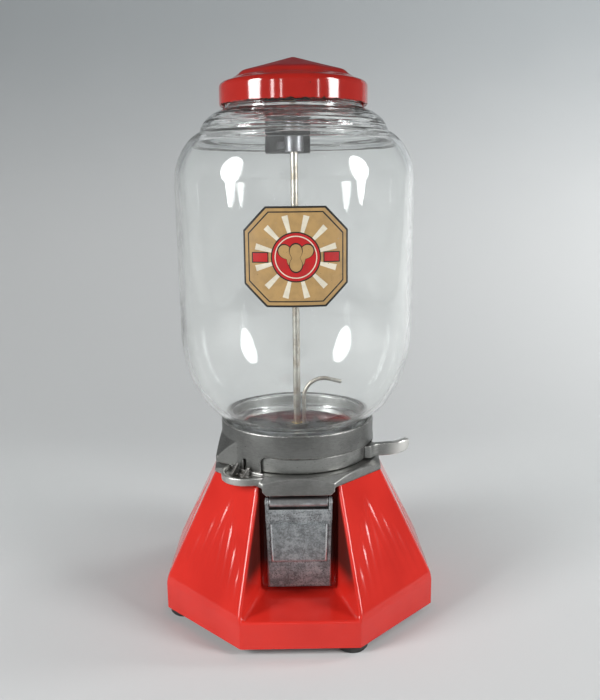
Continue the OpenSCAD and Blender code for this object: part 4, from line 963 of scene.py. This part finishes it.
corners = [(-PANEL_TOP_HALF_W, PANEL_TOP), (-PANEL_LOW_HALF_W, PANEL_LOW), (PANEL_LOW_HALF_W, PANEL_LOW),
           (PANEL_TOP_HALF_W, PANEL_TOP)]
panel = flat_shape("flap_panel", corners, PANEL_SEAT)
extrude()
bpy.ops.mesh.inset(thickness=PANEL_SLANT * MM)
bpy.ops.transform.translate(value=(0, -PANEL_RISE * MM, 0))
select_all()
bpy.ops.mesh.remove_doubles(threshold=PANEL_DOUBLE)
apply_modifier(panel, "BEVEL", width=PANEL_ROUND * MM, segments=ROUND_STEPS)
smooth(panel)
settle(panel, "flap", "zinc", polished_panel("panel_zinc"))

# %% The coin fins
COIN_TURN = math.radians(-132)
FIN_NEAR, FIN_REACH, FIN_HALF_T, FIN_ROUND = 52.3, 6.5, 0.8, 0.35
FIN_LOW, FIN_KNEE_Z, FIN_KNEE_SHARE = 98.6, 100.8, 0.6
FIN_SUNK, FIN_TIP_W = 0.3, 0.6
FINS = {"left_fin": (-4.6, 104.6), "right_fin": (4.6, 103.6)}

for name, (aside, tip) in FINS.items():
    outline = [(FIN_NEAR - FIN_SUNK, FIN_LOW), (FIN_NEAR + FIN_REACH, FIN_LOW),
               (FIN_NEAR + FIN_KNEE_SHARE * FIN_REACH, FIN_KNEE_Z), (FIN_NEAR + FIN_TIP_W, tip),
               (FIN_NEAR, tip)]
    fin = flat_shape(name, outline, aside - FIN_HALF_T)
    extrude(y=2 * FIN_HALF_T * MM)
    face_outwards()
    apply_modifier(fin, "BEVEL", width=FIN_ROUND * MM, segments=ROUND_STEPS)
    take(fin)
    fin.rotation_euler.z = COIN_TURN
    bpy.ops.object.transform_apply(rotation=True)
    smooth(fin)
    settle(fin, "frame", "cast_aluminium", aluminium)

# %% [markdown]
# ## The badge on the glass
#
# A printed badge faces the customer: a dark plate with a tan field, pale rays, a red roundel with three
# nuts and a red bar on either side. A print could be painted into the glass's own material, but its crisp
# borders stay crisp as thin shapes. Each is drawn flat, cut into upright strips and wrapped round the
# jar, every layer a hair above the last.

# %% Shapes for the badge
NUT_REACH, NUT_WAIST = 0.64, 0.36


def octagon(half_w, half_h, cut):
    """A rectangle with its corners cut off."""
    quarter = [(half_w, half_h - cut), (half_w - cut, half_h)]
    right = [(x, -y) for x, y in quarter[::-1]] + quarter
    return right + [(-x, y) for x, y in right[::-1]]


def disc(radius, steps=72):
    """A circle's points."""
    turns = [2 * math.pi * k / steps for k in range(steps)]
    return [(radius * math.cos(t), radius * math.sin(t)) for t in turns]


def nut(length, middle, lean, steps=48):
    """A nut in its shell: two lobes with a waist."""
    points = []
    for k in range(steps):
        turn = 2 * math.pi * k / steps
        reach = length * (NUT_REACH + NUT_WAIST * math.cos(2 * turn))
        x, y = reach * math.cos(turn + lean), reach * math.sin(turn + lean)
        points.append((middle[0] + x, middle[1] + y))
    return points


def ray(turn, inner, outer, half_turn):
    """A wedge that widens from one radius to another."""
    return [(r * math.cos(turn + d), r * math.sin(turn + d))
            for r, d in ((inner, -half_turn), (outer, -half_turn), (outer, half_turn), (inner, half_turn))]


def bar(side, inner, outer, half_h):
    """A bar to one side of the middle."""
    left, right = sorted((side * inner, side * outer))
    return [(left, -half_h), (right, -half_h), (right, half_h), (left, half_h)]


# %% Draw the badge
NUTS = [((-3.6, 0.4), math.radians(132)), ((3.6, 0.4), math.radians(48)), ((0, -0.4), math.radians(90))]
RAYS = [math.radians(15 + 30 * k) for k in range(12)]
RAY_HALF_TURN = math.radians(4.2)
NUT_L, NUT_BORDER_L = 7.6, 8.4

badge_layers = [
    ("black", [octagon(30.0, 28.0, 13.0)]),
    ("tan", [octagon(28.9, 26.9, 12.5)]),
    ("black", [octagon(27.2, 25.2, 11.8)]),
    ("tan", [octagon(26.5, 24.5, 11.5)]),
    ("cream", [ray(turn, 10.0, 23.6, RAY_HALF_TURN) for turn in RAYS]),
    ("black", [disc(14.0)] + [bar(side, 15.4, 25.0, 3.0) for side in (-1, 1)]),
    ("red", [disc(13.3)] + [bar(side, 16.0, 24.4, 2.4) for side in (-1, 1)]),
    ("cream", [disc(11.9)]),
    ("red", [disc(11.3)]),
]
for middle, lean in NUTS:
    badge_layers += [("black", [nut(NUT_BORDER_L, middle, lean)]), ("tan", [nut(NUT_L, middle, lean)])]
print("layers of print:", len(badge_layers))

# %% Wrap it round the jar
BADGE_Z, PRINT_LIFT, PRINT_STEP = 238.5, 0.06, 0.025
STRIP_W, STRIPS_EACH_SIDE = 3.0, 10


def on_jar(point, lift):
    """A flat point's place once the print is wrapped round the jar, a lift in mm off the glass."""
    radius = (GLOBE_R + lift) * MM
    turn = point.x / (GLOBE_R * MM)
    return Vector((radius * math.sin(turn), -radius * math.cos(turn), point.z + BADGE_Z * MM))


prints = {}
for level, (ink, outlines) in enumerate(badge_layers):
    for outline in outlines:
        piece = flat_shape("print", outline, 0)
        for k in range(-STRIPS_EACH_SIDE, STRIPS_EACH_SIDE + 1):
            select_all()
            bpy.ops.mesh.bisect(plane_co=(k * STRIP_W * MM, 0, 0), plane_no=(1, 0, 0))
        select_all()
        reshape(piece, lambda point: on_jar(point, PRINT_LIFT + PRINT_STEP * level))
        prints.setdefault(ink, []).append(piece)
print("inks:", list(prints))

# %% [markdown]
# Ink on glass wears: it loses small flecks and fades in clouds. The flecks could be cut out of the
# shapes, but noise on the ink's Alpha does it with no extra faces. Each ink is one piece, joined from its
# shapes.

# %% Ink the badge
INKS = {
    "black": (0.012, 0.011, 0.010),
    "tan": (0.46, 0.29, 0.115),
    "cream": (0.78, 0.72, 0.58),
    "red": (0.52, 0.012, 0.014),
}
PRINT_T, FADED, FLECK_BORDER = 0.016, 0.78, (0.69, 0.72)


def printed_ink(name, colour):
    """A faded ink that has lost some flecks."""
    material, place, shader = new_material(name, Coat_Weight=0.5, Coat_Roughness=0.1)
    fade = place.noise(7, 4, 0.6).ramp(0.35, 0.75)
    flecks = place.noise(1.1, 3, 0.65).ramp(*FLECK_BORDER)
    feed(shader, Base_Color=fade.blend(colour, *toned(FADED, colour)), Roughness=0.35 + 0.2 * fade,
         Alpha=1 - flecks)
    return material


for ink, pieces in prints.items():
    take(pieces[0])
    for piece in pieces[1:]:
        piece.select_set(True)
    bpy.ops.object.join()
    badge = name_new("badge_" + ink)
    apply_modifier(badge, "SOLIDIFY", thickness=PRINT_T * MM, offset=0)
    settle(badge, "frame", "red_enamel", printed_ink(ink + "_ink", INKS[ink]))

# %% [markdown]
# ## The photographer's table
#
# The floor is a pale sweep of paper that runs up into a backdrop painted greyer towards its top, as
# painted shade where the lamps' light falls off. A floor and a wall would meet in a line behind the
# machine, so one sheet is bent up in a quarter circle. Big soft boxes on both sides give the long streaks
# on the enamel and the bright shapes in the glass.

# %% The sweep of paper
SWEEP_FRONT, SWEEP_BACK, SWEEP_BEND, SWEEP_TOP, SWEEP_HALF_W = -1.6, 0.35, 0.9, 0.98, 1.4
SWEEP_STEPS, SWEEP_MARGIN = 16, 0.01
# The grey is painted shade: the backdrop darkens upwards as the lamps' light falls off
PAPER_PALE, PAPER_SHADED, PAPER_SHADE_RISE = (0.60, 0.615, 0.615), (0.38, 0.405, 0.415), (0.15, 0.7)


def sweep_paper():
    """Pale paper with painted shade that darkens it towards its top, where the lamps' light falls off."""
    material, place, shader = new_material("sweep_paper", Roughness=0.8)
    # Painted shade: darker up the backdrop
    painted_falloff = (place.part("Z") + 0.05 * place.noise(150, 2)).ramp(*PAPER_SHADE_RISE)
    feed(shader, Base_Color=painted_falloff.blend(PAPER_PALE, PAPER_SHADED), Normal=bump(place.noise(1.5, 2), 0.05, 0.2))
    return material


start_afresh()
bpy.ops.mesh.primitive_plane_add(size=1, location=(0, (SWEEP_FRONT + SWEEP_BACK) / 2, 0))
bpy.ops.transform.resize(value=(2 * SWEEP_HALF_W, SWEEP_BACK - SWEEP_FRONT, 1))
sweep = name_new("sweep")
take(sweep, "EDIT")
pick(sweep, "edges", lambda e: all(v.co.y > SWEEP_BACK - SWEEP_MARGIN for v in e.verts))
bends = [math.radians(90 * step / SWEEP_STEPS) for step in range(SWEEP_STEPS + 1)]
for low, high in zip(bends, bends[1:]):
    along, up = math.sin(high) - math.sin(low), math.cos(low) - math.cos(high)
    extrude(y=SWEEP_BEND * along, z=SWEEP_BEND * up)
extrude(z=SWEEP_TOP - SWEEP_BEND)
select_all()
bpy.ops.mesh.normals_make_consistent(inside=True)
take(sweep)
bpy.ops.object.shade_smooth()
dress(sweep, sweep_paper())
print("sweep:", len(sweep.data.polygons), "faces")

# %% The soft boxes
AIM = Vector((0, 0, 0.2))
BOXES = {"left_box": (-60, 0.46), "right_box": (62, 0.38)}
BOX_DISTANCE, BOX_LOW, BOX_HIGH, BOX_RADIANCE = 1.2, 0.21, 1.02, 13.5


def area_lamp(name, shape, width, height, watts, place, aim):
    """A flat lamp at a place, turned to face another."""
    lamp_data = bpy.data.lights.new(name, "AREA")
    lamp_data.shape = shape
    lamp_data.size = width
    lamp_data.size_y = height
    lamp_data.energy = watts
    lamp = bpy.data.objects.new(name, lamp_data)
    lamp.location = place
    lamp.rotation_euler = (aim - lamp.location).to_track_quat("-Z", "Y").to_euler()
    scene.collection.objects.link(lamp)
    print("lamp:", name, round(watts, 1), "W")
    return lamp


def soft_box(name, shape, turn, distance, low, high, width, radiance):
    """An upright lamp round the machine: degrees right of the camera, metres, and its brightness."""
    side, height = math.radians(turn), high - low
    place = (distance * math.sin(side), -distance * math.cos(side), (low + high) / 2)
    return area_lamp(name, shape, width, height, math.pi * width * height * radiance, place, AIM)


for name, (turn, width) in BOXES.items():
    soft_box(name, "ELLIPSE", turn, BOX_DISTANCE, BOX_LOW, BOX_HIGH, width, BOX_RADIANCE)

# %% [markdown]
# The lid's rim also mirrors three narrow strips of light that the glass doesn't show. A dim lamp above
# the camera fills the shadows on the base and the castings, and one at the right brightens the backdrop
# alone. Cards could keep their light off the rest, but light linking does it with nothing in the way.

# %% Lights for single pieces
STRIPS = {"left_strip": (-31, 0.11), "left_slit": (-18, 0.05), "right_slit": (37, 0.04)}
STRIP_DISTANCE, STRIP_LOW, STRIP_HIGH, STRIP_RADIANCE = 1.4, 0.42, 0.66, 12
FILL_DISTANCE, FILL_LOW, FILL_HIGH, FILL_W, FILL_RADIANCE = 1.3, 0.75, 1.2, 2.4, 1.5
BACK_LAMP_PLACE, BACK_LAMP_AIM = Vector((1.1, 0.3, 0.8)), Vector((0.55, 1.0, 0.2))
BACK_LAMP_SIZE, BACK_LAMP_WATTS = 0.4, 8


def receivers(name, *pieces):
    """A group of pieces that lamps may be kept to."""
    group = bpy.data.collections.new(name)
    for piece in pieces:
        group.objects.link(piece)
    return group


lid_only = receivers("lid_only", lid)
for name, (turn, width) in STRIPS.items():
    strip = soft_box(name, "RECTANGLE", turn, STRIP_DISTANCE, STRIP_LOW, STRIP_HIGH, width, STRIP_RADIANCE)
    strip.light_linking.receiver_collection = lid_only

front_only = receivers("front_only", base, castings["top_casting"], castings["drive_ring"],
                       castings["flap_door"], panel)
front_fill = soft_box("front_fill", "RECTANGLE", 0, FILL_DISTANCE, FILL_LOW, FILL_HIGH, FILL_W,
                      FILL_RADIANCE)
front_fill.light_linking.receiver_collection = front_only

back_lamp = area_lamp("back_lamp", "SQUARE", BACK_LAMP_SIZE, BACK_LAMP_SIZE, BACK_LAMP_WATTS,
                      BACK_LAMP_PLACE, BACK_LAMP_AIM)
back_lamp.light_linking.receiver_collection = receivers("sweep_only", sweep)

# %% [markdown]
# ## The room
#
# A studio is a dim room round the bright lamps. It could be a plain grey world, but enamel mirrors all of
# it, so it is paler low down, where light comes back from the floor. What the camera sees past the paper,
# straight or through the glass, is as pale as the paper.

# %% The room
ROOM_LOW, ROOM_HIGH, ROOM_FADE, ROOM_STRENGTH = (0.85, 0.87, 0.90), (0.30, 0.31, 0.33), (0.1, 0.7), 0.2
ROOM_SEEN = (2.75, 2.85, 2.9)

world = bpy.data.worlds.new("room")
world.use_nodes = True
room = world.node_tree.nodes["Background"]
air = Wire(world.node_tree)
up = air.node("ShaderNodeTexCoord", None, "Generated").part("Z")
glow = up.ramp(*ROOM_FADE).blend(ROOM_LOW, ROOM_HIGH)
seen = air.node("ShaderNodeLightPath", None, "Is Camera Ray")
through_glass = air.node("ShaderNodeLightPath", None, "Is Transmission Ray")
feed(room, Color=(seen + through_glass).blend(glow, ROOM_SEEN))
room.inputs["Strength"].default_value = ROOM_STRENGTH
scene.world = world
scene.view_settings.view_transform = "Standard"
print("room:", len(world.node_tree.nodes), "nodes")
